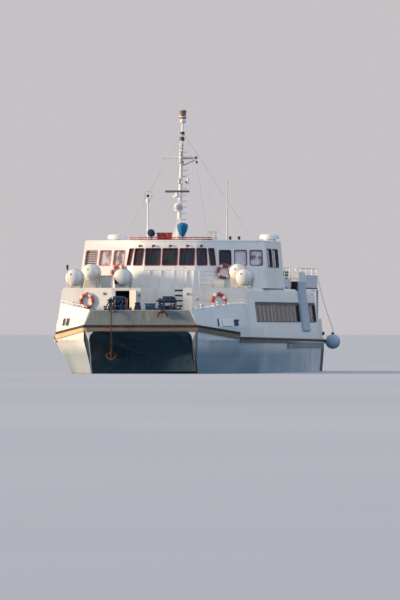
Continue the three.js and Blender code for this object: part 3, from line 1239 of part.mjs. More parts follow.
function fenderRope() {
  const top = new THREE.Vector3(ROPE.top[0], fromBow(ROPE.top[1]), ROPE.top[2]);
  const belowCleat = top.clone().setZ(top.z - ROPE.straight);
  const end = new THREE.Vector3(BALL.x, fromBow(BALL.aft), ballTop + GAP);
  const overEye = end.clone().setZ(end.z + 120);
  const middle = top.clone().lerp(overEye, 0.55);
  middle.x -= ROPE.sag * 0.4;
  middle.z -= ROPE.sag * 0.2;
  const route = new THREE.CatmullRomCurve3([top, belowCleat, middle, overEye, end]);
  const circle = new THREE.Shape();
  circle.absarc(0, 0, ROPE.radius, 0, Math.PI * 2);
  return new THREE.ExtrudeGeometry(circle,
    { extrudePath: route, steps: ROPE.steps, curveSegments: 4, bevelEnabled: false });
}

addNode('fender_rope', fenderRope(), 'rope');

export default ferry;
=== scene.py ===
import math

import bmesh
import bpy
from mathutils import Matrix, Vector


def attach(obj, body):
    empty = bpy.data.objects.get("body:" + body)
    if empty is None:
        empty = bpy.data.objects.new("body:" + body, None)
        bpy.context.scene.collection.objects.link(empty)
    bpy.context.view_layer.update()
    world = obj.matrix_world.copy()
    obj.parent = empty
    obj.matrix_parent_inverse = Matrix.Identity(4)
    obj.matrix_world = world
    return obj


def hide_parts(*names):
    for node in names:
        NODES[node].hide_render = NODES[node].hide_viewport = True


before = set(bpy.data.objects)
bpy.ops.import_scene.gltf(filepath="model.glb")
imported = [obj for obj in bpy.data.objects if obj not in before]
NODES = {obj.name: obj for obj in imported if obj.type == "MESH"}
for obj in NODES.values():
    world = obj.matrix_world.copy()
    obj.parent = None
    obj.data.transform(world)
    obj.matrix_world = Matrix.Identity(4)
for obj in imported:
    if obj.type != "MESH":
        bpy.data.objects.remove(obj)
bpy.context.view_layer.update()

# The ferry's frame: metres, +X port, +Y aft, +Z up, the origin amidships at the waterline.
# "aft" lengths run aft from the tunnel's mouth.
BOW_Y = -13.5
SIDES = {"port": 1, "starboard": -1}
X, Y, Z = (Vector(row) for row in Matrix.Identity(3))


def at(x, aft, z):
    return Vector((x, aft + BOW_Y, z))


def arc(start, end, steps):
    """Angles in radians from one to another, both given in degrees."""
    return [math.radians(start + (end - start) * i / steps) for i in range(steps + 1)]


def turns(count):
    """Angles all round, the last one left out."""
    return arc(0, 360, count)[:-1]


def circle(centre, first, second, angles):
    return [centre + first * math.cos(t) + second * math.sin(t) for t in angles]


# Camera: a very long lens, low down and a little off the port bow
PHOTO_WIDTH, PHOTO_HEIGHT = 400, 600
FOCAL_PX = 8430
DISTANCE = 400
EYE_Z = 2.08
AHEAD = Vector((-0.1805, 0.9836, 0))
RIGHT = Vector((0.9836, 0.1805, 0))
CENTRE_X_PX, HORIZON_Y_PX = 140.6, 330
SENSOR = 36


def new_object(name, data):
    made = bpy.data.objects.new(name, data)
    bpy.context.scene.collection.objects.link(made)
    return made


def aimed_object(name, data, location, facing, axis):
    """A new object with one of its axes turned along a direction."""
    placed = new_object(name, data)
    placed.location = location
    placed.rotation_mode = "QUATERNION"
    placed.rotation_quaternion = facing.to_track_quat(axis, "Y")
    return placed


camera_data = bpy.data.cameras.new("camera")
camera_data.sensor_width = SENSOR
camera_data.lens = FOCAL_PX * SENSOR / PHOTO_HEIGHT
camera_data.clip_start, camera_data.clip_end = 1, 4000
sight = (AHEAD + RIGHT * ((PHOTO_WIDTH / 2 - CENTRE_X_PX) / FOCAL_PX)
         + Z * ((HORIZON_Y_PX - PHOTO_HEIGHT / 2) / FOCAL_PX))
bpy.context.scene.camera = aimed_object("camera", camera_data,
                                        at(0, 0, EYE_Z) - AHEAD * DISTANCE, sight, "-Z")


# Colours and materials

def srgb(colour):
    """Linear colour with its alpha, from red, green and blue out of 255."""
    shares = [value / 255 for value in colour]
    return tuple(v / 12.92 if v <= 0.04045 else ((v + 0.055) / 1.055) ** 2.4
                 for v in shares) + (1,)


def shade(colour, factor):
    return tuple(min(1, c * factor) for c in colour[:3]) + (1,)


def add_node(tree, kind, inputs=None, output=0, **settings):
    """A new node with its settings and inputs. Returns one of its outputs."""
    made = tree.nodes.new(kind)
    for key, value in settings.items():
        setattr(made, key, value)
    for key, value in (inputs or {}).items():
        if isinstance(value, bpy.types.NodeSocket):
            tree.links.new(value, made.inputs[key])
        else:
            made.inputs[key].default_value = value
    return made.outputs[output]


class Shader:
    """A material with short calls for its nodes."""

    def __init__(self, name, roughness, metallic=0, **sockets):
        self.material = bpy.data.materials.new(name)
        self.material.use_nodes = True
        self.tree = self.material.node_tree
        self.surface = self.tree.nodes["Principled BSDF"].inputs
        for socket, value in dict(sockets, Roughness=roughness, Metallic=metallic).items():
            self.surface[socket].default_value = value
        self.coords = self.node("ShaderNodeTexCoord", output="Object")

    def node(self, kind, inputs=None, output=0, **settings):
        return add_node(self.tree, kind, inputs, output, **settings)

    def noise(self, scale, stretch=(1, 1, 1), detail=3, roughness=0.5):
        place = self.node("ShaderNodeMapping", {"Vector": self.coords, "Scale": stretch})
        return self.node("ShaderNodeTexNoise", {
            "Vector": place, "Scale": scale, "Detail": detail, "Roughness": roughness})

    def spread(self, value, low, high, to_low=0, to_high=1):
        return self.node("ShaderNodeMapRange", {
            "Value": value, "From Min": low, "From Max": high, "To Min": to_low,
            "To Max": to_high})

    def along(self, start, end, to_start=0, to_end=1):
        """Runs from one value to another between two places aft."""
        return self.spread(self.axis("Y"), start + BOW_Y, end + BOW_Y, to_start, to_end)

    def math(self, operation, first, second=0):
        return self.node("ShaderNodeMath", {0: first, 1: second}, operation=operation)

    def times(self, first, second):
        return self.math("MULTIPLY", first, second)

    def mix(self, factor, first, second):
        """Mixes two colours: sockets, linear colours, or red, green and blue out of 255."""
        first, second = (srgb(c) if isinstance(c, tuple) and len(c) == 3 else c
                         for c in (first, second))
        return self.node("ShaderNodeMix", {0: factor, 6: first, 7: second}, output=2,
                         data_type="RGBA")

    def patches(self, scale, detail, first, second):
        """Two colours in soft patches."""
        share = self.spread(self.noise(scale, detail=detail), 0.35, 0.65)
        return self.mix(share, first, second)

    def axis(self, name):
        return self.node("ShaderNodeSeparateXYZ", {0: self.coords}, name)

    def facing(self, name):
        """How far a face looks along an axis."""
        normal = self.node("ShaderNodeNewGeometry", output="Normal")
        return self.node("ShaderNodeSeparateXYZ", {0: normal}, name)

    def finish(self, colour, grain, lumps, roughness=0.5):
        """Grain: scale, detail and the two ends of roughness. Lumps: scale, detail,
        strength and height."""
        self.tree.links.new(colour, self.surface["Base Color"])
        if grain:
            scale, detail, low, high = grain
            self.tree.links.new(self.spread(self.noise(scale, detail=detail), 0.3, 0.7, low, high),
                                self.surface["Roughness"])
        scale, detail, strength, distance = lumps
        self.tree.links.new(self.node("ShaderNodeBump", {
            "Height": self.noise(scale, detail=detail, roughness=roughness),
            "Strength": strength, "Distance": distance}), self.surface["Normal"])
        return self.material


def weathered(shader, base, vary=0.1, streaks=None, grime=None, mask=None):
    """Paint that differs a little from place to place. Run-off streaks and grime are a colour
    and an amount each."""
    base = srgb(base)
    colour = shader.patches(0.55, 4, shade(base, 1 - vary), base)
    if streaks:
        fine = shader.noise(4.5, (1, 1, 0.1), detail=5, roughness=0.6)
        wide = shader.noise(1.3, (1, 1, 0.22), detail=3)
        amount = shader.times(shader.spread(fine, 0.5, 0.72, 0, streaks[1]),
                              shader.spread(wide, 0.4, 0.62))
        if mask is not None:
            amount = shader.times(amount, mask)
        colour = shader.mix(amount, colour, streaks[0])
    if grime:
        amount = shader.spread(shader.noise(9, detail=6, roughness=0.7), 0.52, 0.75, 0, grime[1])
        colour = shader.mix(amount, colour, grime[0])
    return colour


MATERIALS = {}


def paint(name, base, roughness, vary, metallic=0, bump=0.15, **wear):
    shader = Shader(name, roughness, metallic)
    MATERIALS[name] = shader.finish(weathered(shader, base, vary, **wear),
                                    (14, 5, roughness * 0.85, roughness * 1.25),
                                    (3, 6, bump, 0.02), roughness=0.6)


WHITE, DIRT, RUST = (238, 236, 231), (150, 138, 120), (126, 84, 52)
TAN, OCHRE = (176, 160, 138), (150, 140, 124)
paint("white", WHITE, 0.42, 0.06, streaks=(TAN, 0.35), grime=(DIRT, 0.1))
paint("white_clean", (240, 239, 236), 0.35, 0.04)
paint("navy", (22, 50, 88), 0.4, 0.35, grime=((70, 96, 132), 0.35))
paint("navy_cover", (38, 58, 96), 0.85, 0.25, bump=0.5)
paint("cyan_cover", (24, 122, 172), 0.8, 0.25, bump=0.5)
paint("red", (176, 58, 52), 0.5, 0.2, grime=(DIRT, 0.3))
paint("red_frame", (150, 52, 52), 0.5, 0.2)
paint("sunlit_pink_frame", (206, 128, 122), 0.5, 0.15)
paint("dark_frame", (76, 62, 80), 0.5, 0.2)
paint("canister", (252, 246, 236), 0.4, 0.1, streaks=((176, 156, 130), 0.3))
paint("grey_canister", (232, 230, 222), 0.4, 0.1)
paint("strap", (150, 140, 122), 0.7, 0.15)
paint("rack", (222, 218, 208), 0.5, 0.1, grime=(RUST, 0.2))
paint("rust", (98, 70, 54), 0.85, 0.4, 0.2, 0.8, grime=((170, 108, 66), 0.6))
paint("rung_shade_dark", (72, 52, 54), 0.8, 0.4, 0.1, 0.8, grime=((176, 136, 138), 0.7))
paint("old_wire", (50, 54, 62), 0.7, 0.3, 0.3, 0.6)
paint("steel", (150, 154, 158), 0.35, 0.15, 0.85)
paint("wire", (120, 124, 128), 0.45, 0.15, 0.6)
paint("bronze", (176, 134, 72), 0.3, 0.3, 0.9)
paint("stay", (204, 202, 206), 0.5, 0.05)
paint("whip", (216, 211, 205), 0.5, 0.05)
paint("black", (34, 36, 40), 0.5, 0.3)
paint("grey", (158, 160, 166), 0.5, 0.1)
paint("orange", (206, 84, 52), 0.55, 0.15, grime=(DIRT, 0.2))
paint("buoy_shaded_crimson", (178, 62, 70), 0.55, 0.15, grime=(DIRT, 0.2))
paint("buoy_white", (232, 224, 212), 0.5, 0.08)
# The fender's blue-grey is partly its own colour and partly painted shade
paint("fender", (178, 196, 212), 0.45, 0.15, streaks=((96, 110, 122), 0.5))
paint("rope", (206, 200, 186), 0.9, 0.2, bump=0.8)
paint("seat", (52, 78, 118), 0.9, 0.2, bump=0.6)
paint("bench", (64, 92, 98), 0.6, 0.2)
paint("blind", (240, 238, 236), 0.8, 0.12)
paint("blind_dark", (112, 104, 98), 0.8, 0.15)
paint("curtain", (214, 200, 206), 0.85, 0.1)
paint("shaded_curtain", (96, 84, 92), 0.85, 0.2)
paint("panel", (226, 220, 226), 0.6, 0.08)
paint("door", (206, 204, 200), 0.45, 0.08, streaks=(OCHRE, 0.3))
paint("rubber", (40, 44, 52), 0.7, 0.25)
paint("rust_light", (150, 118, 92), 0.7, 0.2, grime=(RUST, 0.6))
paint("maroon", (112, 40, 46), 0.4, 0.15)
paint("lamp", (196, 196, 190), 0.2, 0.15)
paint("radome", (190, 192, 196), 0.4, 0.06)
paint("dark_bar", (104, 102, 104), 0.45, 0.2)
paint("teal", (36, 96, 116), 0.55, 0.2)
paint("engine", (150, 158, 160), 0.5, 0.2, grime=((50, 44, 40), 0.5))


def hull_paint():
    """White shell with pale streaks aft, dark in the tunnel and below the waterline."""
    shader = Shader("hull", 0.4)
    height = shader.axis("Z")
    base = weathered(shader, (226, 226, 224), streaks=(OCHRE, 0.5), grime=(DIRT, 0.12),
                     mask=shader.spread(height, 0.2, 1.6))
    # Painted shade: a blue-grey wash low on the sides, in patches, for the dim light from below.
    # It thins out in streaks aft
    painted_shade = shader.times(shader.spread(height, 1.35, 0.9),
                        shader.spread(shader.noise(0.35, detail=3), 0.3, 0.6, 0.5, 1))
    aft_streaks = shader.times(shader.along(17.5, 23.5),
                               shader.spread(shader.noise(2.2, (1, 1, 0.15), detail=4), 0.3, 0.46))
    painted_shade = shader.times(painted_shade, shader.spread(aft_streaks, 0, 1, 1, 0.05))
    base = shader.mix(painted_shade, base, (150, 168, 176))
    quarter = shader.times(shader.along(25.9, 26.1), shader.spread(height, 1.22, 1.12))
    base = shader.mix(quarter, base, (34, 42, 66))
    # In the tunnel the dark colour is partly its paint and partly painted shade, with a painted
    # patch of sunlight low aft
    tunnel = shader.mix(painted_sun_patch(shader), tunnel_paint_and_shade(shader), (252, 214, 166))
    base = shader.mix(tunnel_mask(shader), base, tunnel)
    base = shader.mix(deck_mask(shader), base, deck_colour(shader))
    foul = shader.patches(2.5, 5, (40, 52, 74), (72, 42, 46))
    return shader.finish(shader.mix(shader.spread(height, 0.03, -0.03), base, foul),
                         (10, 5, 0.32, 0.55), (1.2, 5, 0.25, 0.03))


def deck_mask(shader):
    """Faces that look up, above the rub rails."""
    return shader.times(shader.spread(shader.facing("Z"), 0.85, 0.95),
                        shader.spread(shader.axis("Z"), 1.3, 1.5))


def deck_colour(shader):
    return weathered(shader, (118, 128, 132), 0.15, grime=(RUST, 0.15))


def painted_sun_patch(shader):
    """Painted sunlight: a bright tan patch low on the tunnel's walls towards the stern."""
    line = shader.along(15.6, 24, 0.52, 0.95)
    below = shader.spread(shader.math("SUBTRACT", line, shader.axis("Z")), -0.08, 0.1)
    patch = shader.spread(shader.noise(1.4, (1, 1, 2), detail=4), 0.3, 0.45, 0.5, 1)
    return shader.times(shader.times(shader.along(15.5, 19), below), patch)


def tunnel_mask(shader):
    """Faces that look inward or down between the hulls."""
    place_x = shader.axis("X")
    inward = shader.times(shader.facing("X"), shader.math("SIGN", place_x))
    down = shader.spread(shader.facing("Z"), -0.35, -0.5)
    near = shader.spread(shader.math("ABSOLUTE", place_x), 2.35, 2.25)
    return shader.math("MAXIMUM", shader.spread(inward, -0.3, -0.45), shader.times(down, near))


def tunnel_paint_and_shade(shader):
    # Dark paint between the hulls, made darker still as painted shade
    return shader.patches(1.6, 5, (78, 78, 72), (112, 106, 94))


def deck_paint(name, streaks, low, high, bridge=False):
    """Grey deck between white edges. The bridge deck is white only on its after face."""
    shader = Shader(name, 0.6)
    edges = weathered(shader, WHITE, 0.06, streaks)
    if bridge:
        # All but the after face take the tunnel's colour: dark paint and painted shade
        edges = shader.mix(shader.spread(shader.facing("Y"), 0.6, 0.8), tunnel_paint_and_shade(shader),
                           edges)
    return shader.finish(shader.mix(deck_mask(shader), edges, deck_colour(shader)),
                         (10, 5, low, high), (2.5, 5, 0.3, 0.02))


def trunk_paint():
    """Blue-grey trunk with a white head and dark run-off at its foot."""
    shader = Shader("trunk", 0.5)
    height = shader.axis("Z")
    blue = weathered(shader, (176, 190, 204), 0.12, ((74, 84, 94), 0.9),
                     mask=shader.spread(height, 3.4, 2.2))
    white = weathered(shader, WHITE, 0.05, ((150, 150, 150), 0.3))
    return shader.finish(shader.mix(shader.spread(height, 4.44, 4.52), blue, white),
                         (10, 5, 0.4, 0.65), (3, 5, 0.3, 0.02))


def bulwark_paint():
    """Grey front plate between the shoulders, white shoulders, ochre runs down the grey."""
    shader = Shader("bulwark", 0.5)
    grey = weathered(shader, (142, 149, 147), 0.14, ((84, 84, 78), 0.55), ((70, 66, 60), 0.3))
    runs = shader.noise(3.6, (1, 1, 0.04), detail=2)
    grey = shader.mix(shader.spread(runs, 0.56, 0.68, 0, 0.75), grey, (168, 160, 132))
    white = weathered(shader, WHITE, 0.06, (TAN, 0.35))
    across = shader.math("ABSOLUTE", shader.axis("X"))
    edge = shader.math("ADD", across, shader.spread(shader.axis("Z"), 2.32, 3, 0, 0.36))
    ragged = shader.math("ADD", edge, shader.spread(shader.noise(2.5, (1, 1, 0.3)), 0, 1,
                                                    -0.05, 0.05))
    sides = shader.mix(shader.spread(ragged, 2.68, 2.78), grey, white)
    cap = shader.mix(shader.spread(across, 2.6, 2.9), (96, 102, 104), (196, 196, 194))
    return shader.finish(shader.mix(shader.spread(shader.facing("Z"), 0.8, 0.95), sides, cap),
                         (12, 5, 0.4, 0.65), (2, 6, 0.3, 0.02))


def rail_paint(name, start, top_start, end, top_end, black, shade_and_wear_colour):
    """Black band over a tan one. The band's top runs straight between two places aft."""
    shader = Shader(name, 0.6)
    down = shader.math("SUBTRACT", shader.along(start, end, top_start, top_end), shader.axis("Z"))
    dark = weathered(shader, (36, 35, 38), 0.3, grime=(DIRT, 0.28))
    gold = weathered(shader, (222, 192, 142), 0.2, ((130, 96, 66), 0.5), ((110, 84, 62), 0.5))
    shade_and_wear = weathered(shader, shade_and_wear_colour, 0.35, grime=((180, 150, 116), 0.45))
    shade_and_wear = shader.mix(shader.along(13, 19, 0, 0.85), shade_and_wear, (196, 180, 172))
    # The gold stays only to starboard. Elsewhere the darker tan is partly wear and partly painted
    # shade
    gold = shader.mix(shader.spread(shader.axis("X"), -2.72, -2.55), gold, shade_and_wear)
    strip = weathered(shader, (142, 150, 162), 0.35, grime=((60, 62, 72), 0.5))
    banded = shader.mix(shader.spread(down, black - 0.004, black + 0.004), dark, gold)
    low = shader.spread(shader.axis("Z"), 1.375, 1.365)
    return shader.finish(shader.mix(low, banded, strip), (10, 4, 0.5, 0.8), (5, 5, 0.4, 0.01))


GLASS_LUMPS = (1.5, 1, 0.04, 0.01)


def side_glass():
    shader = Shader("side_glass", 0.06, IOR=1.25, Alpha=0.32)
    tint = srgb((36, 40, 52))
    return shader.finish(shader.patches(0.8, 2, shade(tint, 0.75), tint), None, GLASS_LUMPS)


def front_glass():
    """Dark panes before the wheelhouse, pale ones with soft shapes behind on both wings."""
    shader = Shader("front_glass", 0.08, IOR=1.5, Alpha=0.78)
    place_x = shader.axis("X")
    dark = shader.patches(0.8, 2, (36, 34, 43), (48, 46, 56))
    shapes = shader.spread(shader.noise(2.6, (1, 1, 0.8), detail=4), 0.46, 0.6)
    plain = shader.times(shader.spread(place_x, 2.9, 3), shader.spread(place_x, 3.74, 3.68))
    shapes = shader.times(shapes, shader.spread(plain, 0, 1, 1, 0.12))
    # Painted light and shade: the pale panes run from darker on the sunlit starboard side to
    # lighter on the shaded port side
    pale = shader.mix(shader.spread(place_x, -2, 2), (216, 206, 210), (246, 232, 234))
    pale = shader.mix(shapes, pale, (140, 120, 126))
    slats = shader.math("SINE", shader.times(shader.axis("Z"), 60))
    shuttered = shader.mix(shader.spread(slats, -0.2, 0.6), (112, 106, 110), (206, 196, 196))
    pale = shader.mix(shader.spread(place_x, -3.62, -3.7), pale, shuttered)
    wing = shader.math("MAXIMUM", shader.spread(place_x, -2.24, -2.32),
                       shader.spread(place_x, 2.93, 2.99))
    wing = shader.times(wing, shader.along(9.45, 9.35))
    return shader.finish(shader.mix(wing, dark, pale), None, GLASS_LUMPS)


MATERIALS.update(
    hull=hull_paint(), bulwark=bulwark_paint(), trunk=trunk_paint(),
    deck=deck_paint("deck", (OCHRE, 0.5), 0.5, 0.8, bridge=True),
    upper_deck=deck_paint("upper_deck", (TAN, 0.3), 0.45, 0.7),
    bow_rail=rail_paint("bow_rail", 0, 2.32, 1.94, 1.98, 0.13, (134, 114, 94)),
    side_rail=rail_paint("side_rail", 1.945, 1.75, 27, 1.6, 0.12, (104, 92, 84)),
    front_glass=front_glass(), side_glass=side_glass())


# Frame nodes: their materials, with soft edges where the solid has hard ones

WELD, SMOOTH_BELOW = 0.0002, 28


def smooth_group():
    """Geometry nodes that weld a faceted solid and shade it smooth below an angle."""
    group = bpy.data.node_groups.new("smooth", "GeometryNodeTree")
    for way in ("INPUT", "OUTPUT"):
        group.interface.new_socket("Geometry", in_out=way, socket_type="NodeSocketGeometry")
    mesh = add_node(group, "GeometryNodeMergeByDistance", {
        "Geometry": add_node(group, "NodeGroupInput"), "Distance": WELD})
    mesh = add_node(group, "GeometryNodeSetShadeSmooth", {"Geometry": mesh}, domain="FACE")
    turn = add_node(group, "GeometryNodeInputMeshEdgeAngle", output="Unsigned Angle")
    sharp = add_node(group, "FunctionNodeCompare", {0: turn, 1: math.radians(SMOOTH_BELOW)},
                     operation="GREATER_THAN")
    mesh = add_node(group, "GeometryNodeSetShadeSmooth", {
        "Geometry": mesh, "Selection": sharp, "Shade Smooth": False}, domain="EDGE")
    group.links.new(mesh, group.nodes.new("NodeGroupOutput").inputs[0])
    return group


# A name that ends in _ stands for the port node and the starboard one
NODE_LOOKS = {
    "hull": "hull_ rudder_",
    "engine": "engine_",
    "deck": "bridge_deck",
    "upper_deck": "upper_deck",
    "bulwark": "bow_bulwark",
    "bow_rail": "bow_rub_rail",
    "side_rail": "rub_rail_",
    "white": "saloon_side_ saloon_front saloon_aft_bulkhead upper_front upper_side_"
             " upper_aft_bulkhead upper_roof mast",
    "white_clean": "fore_ladder upper_deck_rail direction_finder helm_console",
    "door": "fore_door aft_door upper_door",
    "side_glass": "saloon_glass_",
    "front_glass": "upper_glass",
    "seat": "saloon_seats upper_seats",
    "black": "radar_scanner helm_chairs",
    "trunk": "vent_trunk_",
    "stay": "mast_stays",
    "red": "roof_front_gear",
    "navy": "winch_frame_ winch_drum_",
    "rust": "anchor_",
    "canister": "raft_rack_",
    "grey_canister": "raft_single",
    "orange": "lifebuoy_lower_ lifebuoy_upper_",
    "bronze": "propeller_",
    "fender": "fender_ball",
    "rope": "fender_rope",
}
smooth = smooth_group()
for look, names in NODE_LOOKS.items():
    for name in names.split():
        for ending in SIDES if name.endswith("_") else [""]:
            node = NODES[name + ending]
            node.data.materials.clear()
            node.data.materials.append(MATERIALS[look])
            node.modifiers.new("smooth", "NODES").node_group = smooth


# Pieces

METRE, MM = 1, 0.001
BEVEL_ABOVE, SHARP_ABOVE = math.radians(40), math.radians(35)
THINNEST, LONGEST_STEP, RIM_ROOT = 0.0005, 0.9, -0.003


class Form:
    """Gathers parts of one piece: vertices, faces and a material for each face."""

    def __init__(self):
        self.verts, self.faces, self.looks, self.names = [], [], [], []

    def rings(self, rings, look, closed=False):
        """A skin over rings of the same number of points, with its ends capped."""
        if look not in self.names:
            self.names.append(look)
        count, start, known = len(rings[0]), len(self.verts), len(self.faces)
        self.verts += [tuple(point) for ring in rings for point in ring]
        for i in range(len(rings) if closed else len(rings) - 1):
            a, b = start + i * count, start + (i + 1) % len(rings) * count
            for j in range(count):
                k = (j + 1) % count
                self.faces.append((a + j, a + k, b + k, b + j))
        if not closed:
            self.faces.append(tuple(reversed(range(start, start + count))))
            self.faces.append(tuple(range(len(self.verts) - count, len(self.verts))))
        self.looks += [self.names.index(look)] * (len(self.faces) - known)

    def box(self, x0, x1, aft0, aft1, z0, z1, look, turn=None):
        rings = [[at(x, aft, z) for x, aft in ((x0, aft0), (x1, aft0), (x1, aft1), (x0, aft1))]
                 for z in (z0, z1)]
        if turn:
            middle = (rings[0][0] + rings[1][2]) / 2
            rings = [[middle + turn @ (point - middle) for point in ring] for ring in rings]
        self.rings(rings, look)

    def tube(self, path, radius, look, sides=10, closed=False):
        """Radius is one number, or one for each point."""
        count = len(path)
        radii = radius if hasattr(radius, "__len__") else [radius] * count
        rings, up = [], None
        for i, point in enumerate(path):
            before = path[i - 1] if i or closed else point
            after = path[(i + 1) % count] if i < count - 1 or closed else point
            along = (after - before).normalized()
            if up is None:
                up = along.orthogonal().normalized()
            up = (up - along * up.dot(along)).normalized()
            rings.append(circle(point, up * radii[i], along.cross(up) * radii[i], turns(sides)))
        self.rings(rings, look, closed)

    def lathe(self, profile, place, look, steps, axis=Z, unit=MM):
        """Profile: radius and height along the axis from the place, in the unit."""
        turn = Z.rotation_difference(axis)
        rings = []
        for radius, height in profile:
            radius = max(radius * unit, THINNEST)
            rings.append(circle(place + turn @ Z * height * unit, turn @ X * radius,
                                turn @ Y * radius, turns(steps)))
        self.rings(rings, look)

    def torus(self, place, ring, tube, look, steps, sides, axis=Z):
        turn = Z.rotation_difference(axis)
        path = circle(place, turn @ X * ring, turn @ Y * ring, turns(steps))
        self.tube(path, tube, look, sides, closed=True)

    def slab(self, place, us, vs, out, thick, look):
        """A flat piece that follows a wall."""
        (u0, u1), (v0, v1) = us, vs
        corners = [(u0, v0), (u1, v0), (u1, v1), (u0, v1)]
        self.rings([[place(u, v, depth) for u, v in corners] for depth in (out, out + thick)],
                   look)

    def rim(self, place, us, vs, look, inset, width, radius, proud=0.012, depth=0.05):
        """A frame round an opening in a wall, with a reveal into it."""
        (u0, u1), (v0, v1) = us, vs
        inner, outer = (stepped(rounded(u0 + edge, u1 - edge, v0 + edge, v1 - edge, bend))
                        for edge, bend in ((inset, radius), (inset - width, radius + width)))
        self.rings([[place(uo, vo, RIM_ROOT), place(uo, vo, proud), place(ui, vi, proud),
                     place(ui, vi, -depth)] for (uo, vo), (ui, vi) in zip(outer, inner)],
                   look, closed=True)

    def make(self, name, body="root", slot=None, bevel=0, replaces=()):
        mesh = bpy.data.meshes.new(name)
        mesh.from_pydata(self.verts, [], self.faces)
        for look in self.names:
            mesh.materials.append(MATERIALS[look])
        mesh.polygons.foreach_set("material_index", self.looks)
        mesh.validate()
        shell = bmesh.new()
        shell.from_mesh(mesh)
        bmesh.ops.recalc_face_normals(shell, faces=shell.faces)
        shell.to_mesh(mesh)
        shell.free()
        mesh.update()
        piece = new_object(name, mesh)
        if bevel:
            modifier = piece.modifiers.new("bevel", "BEVEL")
            modifier.width = bevel
            modifier.segments = 2
            modifier.limit_method = "ANGLE"
            modifier.angle_limit = BEVEL_ABOVE
            modifier.harden_normals = True
        mesh.shade_smooth()
        mesh.set_sharp_from_angle(angle=SHARP_ABOVE)
        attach(piece, body)
        if replaces:
            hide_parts(*replaces)
        return piece


def rounded(u0, u1, v0, v1, radius):
    """Outline of a rectangle with round corners."""
    corners = ((u1 - radius, v1 - radius), (u0 + radius, v1 - radius),
               (u0 + radius, v0 + radius), (u1 - radius, v0 + radius))
    return [(u + radius * math.cos(t), v + radius * math.sin(t))
            for i, (u, v) in enumerate(corners) for t in arc(90 * i, 90 * i + 90, 4)]


def stepped(outline):
    """The same outline with points along its long edges, so that it follows a curved wall."""
    points = []
    for (u0, v0), (u1, v1) in zip(outline, outline[1:] + outline[:1]):
        count = max(1, math.ceil(max(abs(u1 - u0), abs(v1 - v0)) / LONGEST_STEP))
        points += [(u0 + (u1 - u0) * i / count, v0 + (v1 - v0) * i / count) for i in range(count)]
    return points


def pairs(points):
    """Pairs of neighbours in a list."""
    return zip(points, points[1:])


# The fender's rope first: it hangs from the rail to the ball's eye

def rope_curve(points, steps):
    """Smooth curve through the points, as the solid's own route."""
    ends = [points[0] * 2 - points[1], *points, points[-1] * 2 - points[-2]]
    route = []
    spans = len(points) - 1
    for step in range(steps + 1):
        t = step / steps * spans
        i = min(int(t), spans - 1)
        t -= i
        p0, p1, p2, p3 = ends[i:i + 4]
        d0, d1, d2 = (max((b - a).length ** 0.5, 1e-4) for a, b in pairs(ends[i:i + 4]))
        m1 = ((p1 - p0) / d0 - (p2 - p0) / (d0 + d1) + (p2 - p1) / d1) * d1
        m2 = ((p2 - p1) / d1 - (p3 - p1) / (d1 + d2) + (p3 - p2) / d2) * d1
        route.append(p1 * (2 * t ** 3 - 3 * t ** 2 + 1) + m1 * (t ** 3 - 2 * t ** 2 + t)
                     + p2 * (3 * t ** 2 - 2 * t ** 3) + m2 * (t ** 3 - t ** 2))
    return route


BALL, BALL_RADIUS = at(4.93, 26.9, 1.5), 0.375
ROPE_TOP, ROPE_EYE_Z, ROPE_RADIUS = at(4.165, 26.93, 4.78), 1.9653, 0.014
rope_end = Vector((BALL.x, BALL.y, ROPE_EYE_Z))
over_eye = rope_end + Z * 0.12
rope_middle = ROPE_TOP.lerp(over_eye, 0.55) + Vector((-0.052, 0, -0.026))
rope_route = rope_curve([ROPE_TOP, ROPE_TOP - Z * 0.08, rope_middle, over_eye, rope_end], 44)
rope = Form()
rope.tube(rope_route, ROPE_RADIUS, "rope", 12)
rope_piece = rope.make("fender_rope_laid", slot="rope", replaces=["fender_rope"])


# Walls that pieces are set against. A place on a wall is u along it, v up and out from it

SIDE_PLAN = [(0, 2.75), (1.94, 4.44), (3.3, 4.76), (5, 4.79), (9, 4.8), (15, 4.8), (21, 4.7),
             (27, 4.48)]
SIDE_LEAN, KNUCKLE_Z, LEAN_FROM, LEAN_RUN = 0.1228, 1.75, 1.94, 1.36
UPPER_FRONT = [(0, 7.85), (1.265, 7.85), (1.85, 8.035), (2.182, 8.32), (4.49, 8.95)]
UPPER_RAKE, UPPER_REF_Z, UPPER_LEAN = 0.306, 5.6, 0.0875
SIDE_TAPER = 0.17 / 5.95
HOUSE_AFT, HOUSE_KNEE_X, HOUSE_SWEEP = 3.05, 1.95, 0.2
DECK_Z, FORE_DECK_Z, ROOF_Z = 4.1, 2.2, 6.44
# Small heights that keep a piece off the surface it stands on
SEAT, CLEAR = 0.001, 0.002


def side_half(aft, z):
    """Half breadth of the saloon's side."""
    for (a, first), (b, second) in pairs(SIDE_PLAN):
        if aft <= b:
            half = first + (second - first) * (aft - a) / (b - a)
            break
    else:
        half = SIDE_PLAN[-1][1]
    lean = min(max((aft - LEAN_FROM) / LEAN_RUN, 0), 1) * SIDE_LEAN
    return half - lean * max(0, z - KNUCKLE_Z)


def on_side(side):
    return lambda u, v, out: at(side * (side_half(u, v) + out), u, v)


def on_upper_side(side):
    corner, start = UPPER_FRONT[4]

    def place(u, v, out):
        half = corner - SIDE_TAPER * (u - start) - UPPER_LEAN * (v - UPPER_REF_Z)
        return at(side * (half + out), u, v)
    return place


def on_facet(first, second, side=1):
    """The raked facet of the upper front between two corners."""
    run = math.dist(first, second)
    cos, sin = (second[0] - first[0]) / run, (second[1] - first[1]) / run

    def place(u, v, out):
        ahead = out - UPPER_RAKE * (v - UPPER_REF_Z) * cos
        return at(side * (first[0] + u * cos + ahead * sin), first[1] + u * sin - ahead * cos, v)
    return place


def on_house(u, v, out):
    """The lower house's swept front: u is x."""
    return at(u, HOUSE_AFT + HOUSE_SWEEP * max(0, abs(u) - HOUSE_KNEE_X) - out, v)


